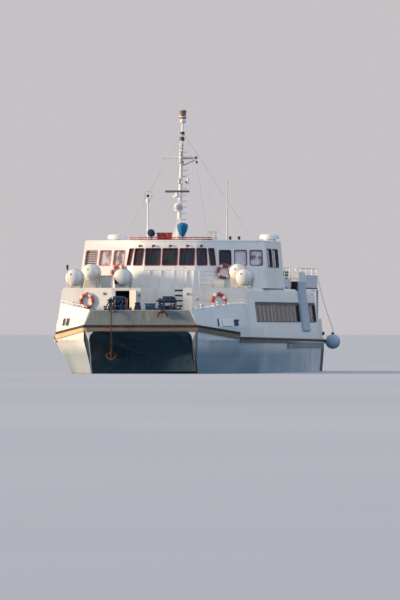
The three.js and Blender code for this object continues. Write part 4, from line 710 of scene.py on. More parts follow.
# Windows of the upper house: red frames, wipers over the middle ones, blinds behind the rest
WHEELHOUSE_Z, UPPER_SALOON_Z, UPPER_SIDE_Z = (5.2, 6.04), (5.2, 5.95), (5.15, 6)
CENTRE = on_facet(*UPPER_FRONT[:2])
MIDDLE_PANES = (-0.84, 0, 0.84)
frames, wipers, blinds = Form(), Form(), Form()
panes = [(CENTRE, x - 0.38, x + 0.38) for x in MIDDLE_PANES]
wiped = [(CENTRE, x) for x in MIDDLE_PANES]
for side in SIDES.values():
    corner, flank, wing = (on_facet(*ends, side) for ends in pairs(UPPER_FRONT[1:]))
    panes += [(corner, 0.05, 0.56), (flank, 0.05, 0.39)]
    wiped.append((corner, 0.3))
    for start, width in ((0.15, 0.59), (0.89, 0.61), (1.64, 0.62)):
        # The starboard wing's frames are pink, a sunlit copy of the dark frames to port: painted
        # light
        frames.rim(wing, (start, start + width), UPPER_SALOON_Z,
                   "dark_frame" if side > 0 else "sunlit_pink_frame", 0.025, 0.035, 0.09)
        # The darker curtain is painted shade: a shaded copy of the pale one, in the port wing's
        # first window and low at the after end of each window
        blinds.slab(wing, (start - 0.04, start + width + 0.04), (5.17, 5.98), -0.13, 0.02,
                    "curtain" if start > 0.5 or side < 0 else "shaded_curtain")
        blinds.slab(wing, (start + width * 0.55, start + width * 0.95), (5.18, 5.55), -0.112,
                    0.02, "shaded_curtain")
for place, start, end in panes:
    frames.rim(place, (start, end), WHEELHOUSE_Z, "red_frame", 0.025, 0.035, 0.04)
for place, u in wiped:
    wipers.slab(place, (u - 0.06, u + 0.06), (6.12, 6.2), 0, 0.07, "black")
    wipers.tube([place(u, 6.16, 0.06), place(u, 6.16, 0.1), place(u - 0.14, 5.72, 0.05)], 0.012,
                "black", 8)
    wipers.tube([place(u - 0.14, 5.98, 0.03), place(u - 0.14, 5.42, 0.03)], 0.011, "black", 6)
frames.make("upper_window_frames", slot="glass")
wipers.make("window_wipers", slot="dark_gear", bevel=0.006)
blinds.make("upper_blinds", slot="seats")

# Side windows: dark frames, and behind the saloon's glass stiff blinds set side by side
SALOON_Z, WIDE_PITCH, BLIND_PITCH = (2.5, 3.4), 1.12, 0.63
side_frames, side_blinds = Form(), Form()
for side in SIDES.values():
    wall = on_upper_side(side)
    for span in ((9.7, 11.3), (11.7, 13.5)):
        side_frames.rim(wall, span, UPPER_SIDE_Z, "dark_frame", 0.01, 0.05, 0.08)
    side_blinds.slab(wall, (9.72, 10.9), (5.16, 5.98), -0.12, 0.02, "curtain")
    wall = on_side(side)
    for low, high, wide in ((5.4, 18.6, 5), (21.5, 24.5, 0)):
        side_frames.rim(wall, (low, high), SALOON_Z, "dark_frame", 0.01, 0.05, 0.06)
        narrow = low + WIDE_PITCH * wide
        count = round((high - narrow) / BLIND_PITCH)
        edges = [low + WIDE_PITCH * i for i in range(wide)]
        edges += [narrow + (high - narrow) * i / count for i in range(count + 1)]
        for i, (start, end) in enumerate(pairs(edges)):
            side_frames.slab(wall, (start, end), (3.3, 3.4), -0.055, 0.03, "dark_frame")
            # A black sheet behind the slats stands in for the dark room: painted shade
            side_blinds.slab(wall, (start, end), (2.46, 3.44), -0.16, 0.012, "black")
            slat = [start + (end - start) * share for share in (0.3, 0.68)]
            side_blinds.slab(wall, slat, (2.46, 3.44), -0.1, 0.015,
                             "blind" if i < wide or i % 2 else "blind_dark")
side_frames.make("side_window_frames", slot="glass")
side_blinds.make("saloon_blinds", slot="seats")


# Lifebuoys: a ring with white bands, a line round it and a light on its upper edge
RING, RING_TUBE, RING_STAND = 0.3, 0.072, 0.078


def lifebuoy(name, wall, axis, colour):
    form = Form()
    centre = wall + axis * RING_STAND
    turn = Z.rotation_difference(axis)

    def on_ring(degrees, radius):
        return centre + turn @ (X * math.cos(math.radians(degrees))
                                + Y * math.sin(math.radians(degrees))) * radius
    form.torus(centre, RING, RING_TUBE, colour, 56, 16, axis)
    for middle in (45, 135, 225, 315):
        form.tube([on_ring(middle + step, RING) for step in range(-14, 15, 4)],
                  RING_TUBE + 0.004, "buoy_white", 16)
        form.tube([on_ring(middle + step * 9,
                           RING + RING_TUBE + 0.012 + 0.028 * math.sin(math.pi * step / 10))
                   for step in range(11)], 0.008, "rope", 6)
    up = (Z - axis * axis.z).normalized()
    across = up.cross(axis)
    form.rings([[centre + across * x - axis * depth + up * z
                 for x, depth in ((-0.04, 0.02), (0.04, 0.02), (0.04, 0.07), (-0.04, 0.07))]
                for z in (RING - 0.02, RING + RING_TUBE + 0.03)], "black")
    form.make(f"{name}_ring", slot="lifebuoy", replaces=[name])


for name, side in SIDES.items():
    # Port rings are crimson, a darker copy of the starboard orange: painted shade
    colour = "buoy_shaded_crimson" if side > 0 else "orange"
    sweep = math.atan(HOUSE_SWEEP)
    lifebuoy(f"lifebuoy_lower_{name}", on_house(side * 3.2, 3.48, 0),
             Vector((side * math.sin(sweep), -math.cos(sweep), 0)), colour)
    (ax, a_aft), (bx, b_aft) = UPPER_FRONT[3:]
    sweep = math.atan2(b_aft - a_aft, bx - ax)
    rake = UPPER_RAKE * math.cos(sweep)
    wall_aft = a_aft + (2.6 - ax) * math.tan(sweep) + UPPER_RAKE * (4.87 - UPPER_REF_Z)
    lifebuoy(f"lifebuoy_upper_{name}", at(side * 2.6, wall_aft, 4.87),
             Vector((side * math.sin(sweep), -math.cos(sweep), rake)).normalized(), colour)


# Life rafts: two shells strapped together on cradles
RAFT_LENGTH = 1.3


def canister(form, x, aft, z, radius, look):
    dome = [(0, 0), (0.35, 0.012), (0.62, 0.045), (0.82, 0.1), (0.94, 0.165), (1, 0.25)]
    profile = [(radius * r, d) for r, d in dome]
    for start in (0.36, 0.52, 0.78, 0.94):
        profile += [(radius, start - 0.035), (radius * 1.02, start - 0.02),
                    (radius * 1.02, start + 0.02), (radius, start + 0.035)]
    profile += [(radius * r, RAFT_LENGTH - d) for r, d in reversed(dome)]
    form.lathe(profile, at(x, aft, z), look, 40, Y, METRE)
    for side in SIDES.values():
        form.tube([at(x + side * radius * 1.012 * out, aft + d, z) for out, d in (
            (0.6, 0.045), (0.95, 0.17), (1, 0.3), (1, RAFT_LENGTH - 0.3),
            (0.95, RAFT_LENGTH - 0.17))], 0.016, look, 8)
    form.tube([at(x + radius * 0.62 * t / 6, aft + 0.03 + 0.018 * abs(t / 6) ** 2, z)
               for t in range(-6, 7)], 0.012, look, 8)
    for start in (0.44, 0.86):
        form.tube(circle(at(x, aft + start, z), X * (radius + 0.006), Z * (radius + 0.006),
                         turns(40)), 0.012, "strap", 6, closed=True)


def cradle(form, x, aft, z, radius):
    bowl = circle(at(x, aft, z), X * (radius + 0.008), Z * (radius + 0.008), arc(200, 340, 8))
    low, high = bowl[0].x + 0.05, bowl[-1].x - 0.05
    outline = bowl + [at(high, aft, DECK_Z + 0.004), at(low, aft, DECK_Z + 0.004)]
    form.rings([[point + Y * d for point in outline] for d in (0, 0.05)], "rack")
    for foot in (low, high):
        form.box(foot - 0.05, foot + 0.05, aft - 0.03, aft + 0.08, DECK_Z + 0.004,
                 DECK_Z + 0.034, "rack")


for name, side in SIDES.items():
    rack = Form()
    for x, aft, z, feet, dx, dz in ((4.15, 4.5, 4.6, (4.8, 5.42), -0.09, 0.16),
                                    (3.6, 5.9, 4.87, (6.2, 6.85), -0.07, 0.13)):
        canister(rack, side * x, aft, z, 0.39, "canister")
        rack.lathe([(0, 0), (36, 2), (36, 50)],
                   at(side * x + dx, aft + 0.005, z + dz), "black", 16, Y)
        for foot in feet:
            cradle(rack, side * x, foot, z, 0.39)
    for x in (3.86, 4.3):
        rack.box(side * x - 0.03, side * x + 0.03, 4.7, 5.6, DECK_Z + CLEAR, DECK_Z + 0.05, "rack")
    rack.make(f"life_rafts_{name}", slot="canister", bevel=0.006, replaces=[f"raft_rack_{name}"])
single = Form()
canister(single, -1.9, 5.05, 4.61, 0.4, "grey_canister")
for foot in (5.35, 6):
    cradle(single, -1.9, foot, 4.61, 0.4)
single.lathe([(0, -12), (100, -8), (112, 0), (112, 90)], at(-2.12, 5.12, 4.4), "black", 24, Y)
single.make("life_raft_single", slot="canister", bevel=0.006, replaces=["raft_single"])

# Gear on the wheelhouse roof: a red rail round its front edge, boxes and covered lights
ROOF_SEAT = ROOF_Z + SEAT
ROOF_SHIFT = UPPER_RAKE * (ROOF_Z - UPPER_REF_Z)
rail = Form()
edge = [(x * 0.97, aft + ROOF_SHIFT + 0.15) for x, aft in UPPER_FRONT[1:4]]
RAIL_AFT = edge[0][1]
edge = [(-x, aft) for x, aft in reversed(edge)] + edge
for (xa, aa), (xb, ab) in pairs(edge):
    for z, radius in ((ROOF_Z + 0.03, 0.022), (ROOF_Z + 0.12, 0.02)):
        rail.tube([at(xa, aa, z), at(xb, ab, z)], radius, "red", 10)
    count = max(1, round(math.hypot(xb - xa, ab - aa) / 0.28))
    for i in range(count + 1):
        foot = at(xa, aa, ROOF_SEAT).lerp(at(xb, ab, ROOF_SEAT), i / count)
        rail.tube([foot, foot + Z * 0.129], 0.014, "red", 8)
for x0, x1, ahead, behind, z0, z1, look in (
        (-0.71, -0.03, 0.04, 0.34, ROOF_SEAT, 6.78, "red"),
        (-0.73, -0.01, 0.02, 0.36, 6.741, 6.8, "red"),
        (-0.385, -0.355, 0.02, 0.05, 6.46, 6.78, "black"),
        (-0.58, -0.52, 0.015, 0.05, 6.7, 6.76, "steel"),
        (-0.22, -0.16, 0.015, 0.05, 6.7, 6.76, "steel"),
        (1.79, 2.11, 0.3, 0.62, ROOF_SEAT, 6.87, "grey_canister"),
        (1.77, 2.13, 0.28, 0.64, 6.83, 6.88, "grey_canister"),
        (1.56, 1.9, 0.26, 0.38, ROOF_SEAT, 6.5, "grey")):
    rail.box(x0, x1, RAIL_AFT + ahead, RAIL_AFT + behind, z0, z1, look)

# Searchlight in its navy cover: a round head on a yoke
SEARCH = at(-1.012, RAIL_AFT + 0.04, 6.79)
rail.lathe([(60, 0), (60, 20), (35, 30), (35, 170)],
           at(SEARCH.x, RAIL_AFT + 0.12, ROOF_SEAT), "grey", 20)
rail.tube(circle(SEARCH + Y * 0.08, X * 0.19, Z * 0.19, arc(180, 360, 12)), 0.016, "grey", 8)
rail.lathe([(0, -165), (100, -160), (155, -130), (176, -80), (178, 30),
            (165, 100), (120, 170), (0, 190)], SEARCH + Y * 0.03, "navy_cover", 28, Y)

# Covered light: a cloth bag gathered at its foot, on a short post
COVER = at(0.512, RAIL_AFT + 0.2, 6.545)
BAG = [(0.055, 0), (0.075, 0.035), (0.07, 0.07), (0.115, 0.14), (0.165, 0.23), (0.215, 0.33),
       (0.25, 0.43), (0.264, 0.53), (0.258, 0.6), (0.225, 0.665), (0.15, 0.71), (0.06, 0.728),
       (0.005, 0.73)]
bag_rings = []
for level, (radius, height) in enumerate(BAG):
    deep = 0.1 if height < 0.3 else 0.035
    ring = []
    for t in turns(48):
        fold = math.sin(9 * t + 0.8 * level) * 0.5 + math.sin(5 * t - 0.5 * level) * 0.5
        reach = radius * (1 + deep * fold)
        ring += circle(COVER + Z * height, X * reach, Y * reach, [t])
    bag_rings.append(ring)
rail.rings(bag_rings, "cyan_cover")
rail.tube(circle(COVER + Z * 0.05, X * 0.082, Y * 0.082, turns(24)), 0.011, "rope", 6, closed=True)
rail.lathe([(90, 0), (90, 15), (30, 30), (30, 120)],
           at(COVER.x, RAIL_AFT + 0.2, ROOF_SEAT), "grey", 20)
rail.make("wheelhouse_roof_gear", slot="roof_gear", bevel=0.005, replaces=["roof_front_gear"])

# Two small horns, vents and a whip aerial on the roof
small = Form()
for x, aft in ((2.62, 9.9), (3.02, 10.1)):
    small.lathe([(50, 0), (50, 30), (20, 50), (20, 100)], at(x, aft, ROOF_SEAT), "black", 16)
    small.lathe([(75, -100), (70, -90), (35, 0), (28, 90), (0, 100)],
                at(x, aft, ROOF_Z + 0.13), "black", 20, Vector((0, 1, 0.1)))
for x in (3.79, -3.79):
    small.lathe([(460, 100), (475, 120), (478, 250), (450, 300), (340, 345),
                 (150, 358), (0, 360)], at(x, 14.35, ROOF_Z), "white_clean", 48)
    small.lathe([(330, 1), (330, 30), (302, 40), (302, 120)],
                at(x, 14.35, ROOF_Z), "white_clean", 40)
for x, aft in ((-2.4, 12.2), (1.4, 12.4), (-0.6, 13.6)):
    small.lathe([(100, 1), (100, 120), (160, 130), (160, 160), (90, 200),
                 (0, 210)], at(x, aft, ROOF_Z), "white_clean", 24)
small.lathe([(60, 1), (60, 20), (35, 40), (34, 450), (28, 900), (22, 1900), (20, 2750), (45, 2770),
             (45, 2860), (0, 2900)], at(2.43, 10, ROOF_Z), "whip", 12)
small.make("roof_fittings", slot="roof_gear", bevel=0.004)

# Mast fittings. The mast's own solid carries them
MAST_AFT, MAST_RAKE = 10.3, 0.1887


def mast_at(z, x=0, ahead=0):
    return at(x, MAST_AFT + MAST_RAKE * (z - ROOF_Z) - ahead, z)


MAST_AXIS = (mast_at(12) - mast_at(7)).normalized()
LANTERN = [(70, 0), (105, 5), (105, 30), (85, 40), (88, 170), (105, 180), (105, 210), (50, 240)]
COLLAR = [(70, 0), (112, 5), (112, 110), (70, 120)]
HANGER = [(0, 0), (50, 10), (45, 100), (0, 130)]
SCANNER_FOOT = mast_at(8.6, 0, 0.85)
mast = Form()
for place, look, steps, axis, profile in (
        (mast_at(12.41), "rust_light", 28, Z, [
            (100, 0), (175, 10), (175, 50), (150, 60), (150, 300),
            (175, 310), (175, 360), (100, 400), (0, 420)]),
        (mast_at(12.22), "white_clean", 24, MAST_AXIS, [
            (140, 0), (150, 20), (150, 100), (120, 130)]),
        (mast_at(11.3), "maroon", 24, MAST_AXIS, [
            (80, 0), (115, 10), (118, 160), (100, 190), (0, 200)]),
        *[(mast_at(z, 0, 0.16), "lamp", 24, MAST_AXIS, LANTERN) for z in (10.22, 10.56, 10.9)],
        *[(mast_at(z), "black", 20, MAST_AXIS, COLLAR) for z in (10.2, 11.62)],
        *[(mast_at(z, x), "black", 16, Z, HANGER) for x, z in ((0.73, 10.43), (0.76, 10.2))],
        (mast_at(9.23, 0.29, 0.12), "black", 16, Z, [
            (0, 0), (50, 5), (50, 90), (0, 100)]),
        (mast_at(9.22, 0, 0.35), "lamp", 20, Z, [
            (45, 0), (75, 20), (75, 200), (50, 240), (0, 250)]),
        (mast_at(7.9, 0, 0.4), "radome", 36, Z, [
            (0, 0), (190, 5), (225, 50), (232, 140), (215, 220),
            (170, 300), (90, 355), (0, 370)]),
        (SCANNER_FOOT, "white_clean", 28, Z, [
            (0, -65), (240, -60), (250, -30), (250, 0), (120, 1)])):
    mast.lathe(profile, place, look, steps, axis)
for path, radius, look, sides in (
        ([mast_at(10.08, 0.05), mast_at(10.36, 0.68)], 0.018, "dark_frame", 8),
        ([mast_at(9.56, 0.06), mast_at(9.66, 0.36), mast_at(9.78, 0.46), mast_at(9.98, 0.56)],
         0.02, "white_clean", 8),
        ([mast_at(9.25, -0.12, 0.12), mast_at(9.25, 0.26, 0.12)], 0.045, "white_clean", 10),
        ([SCANNER_FOOT + Vector((0, 0.1, -0.05)), mast_at(7.95, 0, 0.1)], 0.03, "white_clean",
         10),
        ([mast_at(10.43, -0.95), mast_at(10.43, 0)], 0.013, "stay", 8),
        ([mast_at(10.43, 0), mast_at(10.43, 0.78)], 0.026, "grey", 10)):
    mast.tube(path, radius, look, sides)
track_low, track_high = mast_at(10.2, -0.05, 0.1), mast_at(11.2, 0.05, -0.02)
mast.box(track_low.x, track_high.x, track_low.y - BOW_Y, track_high.y - BOW_Y, 10.2, 11.2,
         "white_clean")
for i in range(14):
    z = 6.85 + i * 0.3
    reach = 0.23 + 0.1 * (1 - (z - ROOF_Z) / 6)
    mast.tube([mast_at(z, 0.05), mast_at(z, reach), mast_at(z + 0.05, reach)], 0.012, "grey", 6)
for x, foot_x, foot_aft in ((-0.9, -0.8, 10.4), (0.7, 1.35, 10.9)):
    mast.tube([mast_at(10.43, x), at(foot_x, foot_aft, ROOF_Z + 0.02)], 0.006, "stay", 6)
    mast.lathe([(30, 0), (30, 30), (0, 40)], at(foot_x, foot_aft, ROOF_Z), "steel", 10)
mast.make("mast_fittings", slot="rigging", bevel=0.003)

# Direction finder's loop and lamp
FINDER = at(-1.38, 9.5, 8.4)
finder = Form()
finder.torus(FINDER + Z * 0.23, 0.2, 0.02, "stay", 40, 10, Y)
finder.lathe([(0, -70), (50, -55), (72, 0), (50, 55), (0, 70)], FINDER + Z * 0.2, "black", 20)
finder.tube([FINDER + Z * 0.06, FINDER + Z * 0.43], 0.01, "white_clean", 8)
finder.lathe([(40, 0), (95, 10), (95, 140), (60, 180), (0, 200)],
             FINDER - Z * 0.12, "white_clean", 24)
finder.lathe([(120, 0), (120, 20), (60, 40)], at(-1.38, 9.5, ROOF_SEAT), "white_clean", 20)
finder.make("direction_finder_loop", slot="rigging", bevel=0.003)

# Radar scanner: a slim bar with rounded ends on its turning head
PEDESTAL = SCANNER_FOOT + Z * 0.12
bar = Form()
bar.rings([[PEDESTAL + Vector((x, dy * size, 0.095 + dz * size)) for dy, dz in (
    (-0.06, -0.03), (-0.045, -0.052), (0.045, -0.052), (0.06, -0.03), (0.06, 0.03),
    (0.045, 0.052), (-0.045, 0.052), (-0.06, 0.03))]
    for x, size in ((-0.6, 0.6), (-0.59, 0.85), (-0.55, 1), (0.55, 1), (0.59, 0.85),
                    (0.6, 0.6))], "dark_bar")
bar.lathe([(100, 3), (100, 20), (60, 40), (60, 50)], PEDESTAL, "white_clean", 24)
bar.make("radar_bar", "radar_scanner", slot="roof_gear", replaces=["radar_scanner"])


# Anchor winches: cheeks, gearcase, hand wheel, motor, stays and wire on the drums
WINCH_AFT, WINCH_Z = 1.56, 3
WINCH_BASE = FORE_DECK_Z + SEAT
FLANGED_DRUM = [(45, 640), (175, 640), (175, 610), (130, 590), (100, 530), (130, 460), (130, 440),
                (45, 435), (45, 325), (330, 320), (330, 285), (190, 280)]


def winch_details(name, x):
    form = Form()

    def spot(dx, dy, z):
        return at(x + dx, WINCH_AFT + dy, z)
    for dx0, dx1, dy0, dy1, z0, z1 in (
            (-0.42, 0.42, -0.36, 0.36, WINCH_BASE, WINCH_BASE + 0.07),
            (-0.34, 0.34, -0.15, 0.15, 3.37, 3.56),
            (0.14, 0.36, 0.26, 0.5, WINCH_BASE + 0.06, 2.7),
            *[(dx - 0.05, dx + 0.05, -0.42, -0.38, WINCH_BASE + 0.07, z)
              for dx, z in ((-0.26, 3.3), (-0.13, 3.42), (0.24, 3.34))]):
        form.box(x + dx0, x + dx1, WINCH_AFT + dy0, WINCH_AFT + dy1, z0, z1, "navy")
    for offset in (-0.38, 0.38):
        form.rings([[spot(offset + thick, dy, z) for dy, z in (
            (-0.36, WINCH_BASE + 0.05), (0.36, WINCH_BASE + 0.05), (0.22, 3.3), (0.16, 3.6),
            (-0.16, 3.6), (-0.22, 3.3))] for thick in (-0.022, 0.022)], "navy")
        form.lathe([(50, -30), (110, -28), (110, 28), (50, 30)],
                   spot(offset, 0, WINCH_Z), "navy", 24, X)
        for dy in (-0.24, 0.24):
            form.tube([spot(offset, dy, WINCH_BASE + 0.06),
                       spot(offset + math.copysign(0.16, offset), dy, WINCH_BASE + 0.3),
                       spot(offset, dy * 0.5, 3)], 0.02, "navy", 8)
    form.lathe([(0, -300), (90, -290), (100, -260), (100, 200), (75, 220),
                (75, 300), (0, 310)], spot(0.05, 0.02, 3.59), "navy", 24, X)
    for i in range(6):
        form.torus(spot(-0.12 + i * 0.06, 0.02, 3.59), 0.103, 0.008, "navy", 28, 6, X)
    hub = spot(0.1, -0.4, 3.42)
    form.torus(hub, 0.2, 0.02, "navy", 32, 8, Y)
    form.lathe([(50, -20), (50, 270), (0, 270)], hub, "navy", 16, Y)
    for end in circle(hub, X * 0.2, Z * 0.2, arc(30, 270, 2)):
        form.tube([hub, end], 0.014, "navy", 6)
    form.lathe([(70, 0), (85, 20), (85, 160), (50, 190)], spot(0.25, 0.38, 2.68), "navy", 20)
    form.tube([spot(-0.42, -0.4, 3.2), spot(0.42, -0.4, 3.2)], 0.028, "navy", 8)
    if name == "port":
        form.tube([spot(-0.5, -0.2, 3.47), spot(0.5, -0.2, 3.47)], 0.05, "navy", 12)
        form.lathe([(100, 0), (85, 40), (20, 130), (0, 140)], spot(0.14, -0.02, 3.55), "navy", 20)
        form.tube([spot(0.18, -0.43, 3.4), spot(0.36, -0.43, 3.16)], 0.022, "steel", 8)
    else:
        for low, high in ((-0.46, -0.1), (-0.36, 0.02), (-0.62, -0.26)):
            form.tube([spot(low, -0.44, WINCH_BASE + 0.45), spot(low, -0.44, 2.98),
                       spot(high, -0.3, 3.64)], 0.032, "navy", 8)
        form.tube([spot(-0.3, -0.46, 3.02), spot(-0.02, -0.4, 3.52)], 0.018, "steel", 8)
        for dx, z in ((-0.44, 3.5), (-0.62, 3.19)):
            form.tube([spot(dx, -0.2, z), spot(dx + 0.3, -0.2, z - 0.03)], 0.016, "navy", 8)
            form.lathe([(0, -50), (35, -35), (50, 0), (35, 35), (0, 50)],
                       spot(dx, -0.2, z), "old_wire", 16)
        form.box(x + 0.44, x + 0.5, WINCH_AFT - 0.3, WINCH_AFT - 0.12, WINCH_BASE + SEAT,
                 3.58, "maroon")
    form.make(f"winch_details_{name}", slot="winch", bevel=0.005, replaces=[f"winch_frame_{name}"])


for name, x in (("starboard", -1.38), ("port", 1.02)):
    winch_details(name, x)
    drum = Form()
    centre = at(x, WINCH_AFT, WINCH_Z)
    drum.lathe([(radius, -height) for radius, height in FLANGED_DRUM] + FLANGED_DRUM[::-1],
               centre, "navy", 32, X)
    for turn in range(12):
        drum.torus(centre + X * (-0.25 + 0.5 * turn / 11), 0.205, 0.023, "old_wire", 28, 8, X)
    drum.make(f"winch_drum_{name}_wound", f"winch_drum_{name}", slot="winch",
              replaces=[f"winch_drum_{name}"])


# Chain links, and anchors with pointed flukes
LINK_PITCH, LINK_HALF, LINK_WIDE, LINK_WIRE = 0.125, 0.051, 0.034, 0.012


def link(form, centre, along, across):
    along = along.normalized()
    path = []
    for way in (1, -1):
        path += circle(centre + along * LINK_HALF * way, across * LINK_WIDE * way,
                       along * LINK_WIDE * way, arc(0, 180, 8))
    form.tube(path, LINK_WIRE, "rust", 8, closed=True)


def chain(form, start, end):
    run = end - start
    count = max(1, round(run.length / LINK_PITCH))
    other = run.cross(X).normalized()
    for i in range(count):
        link(form, start + run * ((i + 0.5) / count), run, X if i % 2 else other)


def anchor_head(form, crown, flip=1):
    """Two flukes on a stock, seen from ahead. flip turns it crown up."""
    for side in (-1, 1):
        form.rings([[crown + Vector((side * (0.15 + (u - 0.15) * size), dy,
                                     flip * (0.15 + (v - 0.15) * size)))
                     for u, v in ((0.035, 0.02), (0.2, 0.07), (0.265, 0.2), (0.235, 0.36),
                                  (0.17, 0.25), (0.1, 0.13), (0.035, 0.12))]
                    for dy, size in ((-0.045, 0.82), (-0.02, 1), (0.02, 1), (0.045, 0.82))],
                   "rust")
    form.lathe([(0, -110), (55, -105), (65, -60), (65, 60), (55, 105),
                (0, 110)], crown + Z * flip * 0.045, "rust", 16, X)


HANG_AHEAD = -0.29
hanging = Form()
crown = at(-1.36, HANG_AHEAD, 0.63)
anchor_head(hanging, crown)
hanging.tube([crown + Z * 0.02, crown + Z * 0.3, crown + Z * 0.56], [0.042, 0.034, 0.03],
             "rust", 10)
hanging.tube([crown + Vector((-0.17, 0, 0.34)), crown + Vector((0.17, 0, 0.34))], 0.026, "rust",
             10)
hanging.lathe([(0, -50), (55, -45), (70, 0), (55, 45), (0, 50)], crown + Z * 0.34, "rust", 16)
hanging.torus(crown + Z * 0.6, 0.05, 0.016, "rust", 24, 8, Y)
top_link, over = at(-1.36, HANG_AHEAD, 3.06), at(-1.36, HANG_AHEAD + 0.06, 3.105)
chain(hanging, crown + Z * 0.66, top_link)
chain(hanging, over, at(-1.36, 0.85, 3.11))
link(hanging, (top_link + over) / 2, over - top_link, X)
hanging.make("anchor_and_chain_starboard", slot="anchor", replaces=["anchor_starboard"])
stowed = Form()
crown = at(1.1, -0.26, 3.01)
anchor_head(stowed, crown, -1)
stowed.tube([crown + Z * 0.02, crown - Z * 0.15], 0.038, "rust", 10)
stowed.box(1.06, 1.14, -0.3, 0.52, 3.001, 3.06, "rust")
stowed.tube([at(1.1, 0.3, 3.07), at(1.1, 0.52, 3.07)], 0.03, "rust", 10)
stowed.make("anchor_stowed_port", slot="anchor", bevel=0.006, replaces=["anchor_port"])
# Cheeks that carry the chain over the bulwark
roller = Form()
for dx in (-0.125, 0.125):
    roller.rings([[at(-1.36 + dx + thick, aft, z) for aft, z in (
        (-0.22, 2.93), (-0.02, 2.93), (-0.02, 3.12), (-0.1, 3.2), (-0.2, 3.16))]
        for thick in (-0.012, 0.012)], "navy")
roller.make("bow_roller_cheeks", slot="anchor", bevel=0.004)

# Gunwale rails and fairleads on the shoulders
gunwale = Form()
for side in SIDES.values():
    a, b, c = (at(side * x - side * 0.03, aft + 0.03, z)
               for x, aft, z in ((2.46, -0.14, 3), (4.19, 2.06, 3.3), (4.57, 3.49, 3.3)))
    top, low = Z * 0.16, Z * 0.02
    gunwale.tube([a + low, b + low, c + low], 0.034, "white_clean", 10)
    gunwale.tube([a.lerp(b, 0.12) + top, b + top, c + top], 0.018, "white_clean", 8)
    for post in [a.lerp(b, 0.12 + 0.88 * i / 8) for i in range(9)] + [
            b.lerp(c, (i + 1) / 4) for i in range(4)]:
        gunwale.tube([post, post + top], 0.015, "white_clean", 8)
    for t in (0.25, 0.62):
        gunwale.lathe([(90, 20), (90, 50), (50, 70), (50, 180), (85, 200),
                       (85, 230), (0, 240)], a.lerp(b, t), "white_clean", 20)
gunwale.tube([at(-2.46, -0.11, 3), at(2.46, -0.11, 3)], 0.03, "grey", 10)
for i in range(7):
    t = 0.08 + i * 0.13
    x, aft, z = 2.72 + 1.65 * t, 0.1 + 1.86 * t, 3 + 0.3 * t
    gunwale.box(x - 0.06, x + 0.06, aft + 0.36, aft + 0.46, z - 0.25,
                z + 0.12 + 0.02 * (i % 3), "canister")
for x in (-2.3, 0.55, 2.45):
    gunwale.lathe([(60, 0), (60, 20), (30, 40), (30, 100), (55, 120),
                   (0, 140)], at(x, 0.35, 2.97), "navy", 16)
gunwale.make("gunwale_rails", slot="bulwark", bevel=0.003)

# Mooring ports in the shoulders: a white backing with black slots, rims round the starboard slots
# and, to port, boxes
SHOULDER = ((2.75, 0), (4.44, 1.94))
SHOULDER_RUN, SHOULDER_RAKE, SHOULDER_REF_Z = math.dist(*SHOULDER), 0.27, 2.32


def on_shoulder(side):
    (x0, aft0), (x1, aft1) = SHOULDER
    cos, sin = (x1 - x0) / SHOULDER_RUN, (aft1 - aft0) / SHOULDER_RUN

    def place(u, v, out):
        ahead = out - SHOULDER_RAKE * max(0, v - SHOULDER_REF_Z)
        return at(side * (x0 + u * cos + ahead * sin), aft0 + u * sin - ahead * cos, v)
    return place


ports = Form()
WHOLE_PORT = (0.48, 0.95, 2.24, 2.65, -0.04, 0.03, "white_clean")
# The black slabs stand for the dark insides of the slots: painted shade
for side, rows in (
        (1, (WHOLE_PORT, (0.49, 0.525, 2.27, 2.62, -0.022, 0.014, "black"),
             (0.6, 0.85, 2.27, 2.57, -0.02, 0.06, "canister"),
             (0.882, 0.975, 2.28, 2.56, -0.03, 0.05, "navy"),
             (0.9, 0.995, 2.5, 2.58, -0.02, 0.06, "navy"))),
        (-1, (WHOLE_PORT, (0.556, 0.665, 2.29, 2.63, -0.022, 0.014, "black"),
              (0.7, 0.79, 2.29, 2.63, -0.022, 0.014, "black")))):
    for start, end, v0, v1, out, thick, look in rows:
        us = (start * SHOULDER_RUN, end * SHOULDER_RUN)
        ports.slab(on_shoulder(side), us, (v0, v1), out, thick, look)
        if side < 0 and look == "black":
            ports.rim(on_shoulder(side), us, (v0, v1), "white_clean", 0, 0.012, 0.02, 0.008, 0.03)
ports.make("mooring_ports", slot="bulwark", bevel=0.008)

# Fore deck: navy cone and drum, and lockers
FORE_SEAT = FORE_DECK_Z + SEAT
deck_gear = Form()
deck_gear.lathe([(240, 1), (240, 60), (200, 300), (150, 620), (120, 740), (130, 760), (130, 810),
                 (100, 840), (0, 850)], at(-0.42, 1.5, 2.56), "navy", 28)
deck_gear.torus(at(-0.42, 1.5, 3.34), 0.13, 0.012, "navy", 28, 8)
for row in ((-0.68, -0.16, 1.24, 1.76, FORE_SEAT, 2.56, "navy"),
            (-0.02, 0.4, 1.3, 1.7, FORE_SEAT, 3.3, "teal"),
            (-0.05, 0.43, 1.27, 1.73, 3.3, 3.35, "teal"),
            (0.02, 0.36, 1.28, 1.295, 2.6, 3.2, "navy"),
            (-3.6, -2.8, 1.9, 2.35, FORE_SEAT, 2.72, "white_clean"),
            (-3.62, -2.78, 1.88, 2.37, 2.72, 2.77, "white_clean"),
            (2.55, 3.45, 1.95, 2.4, FORE_SEAT, 2.72, "white_clean"),
            (2.53, 3.47, 1.93, 2.42, 2.72, 2.77, "white_clean")):
    deck_gear.box(*row)
deck_gear.make("fore_deck_gear", slot="deck", bevel=0.01)

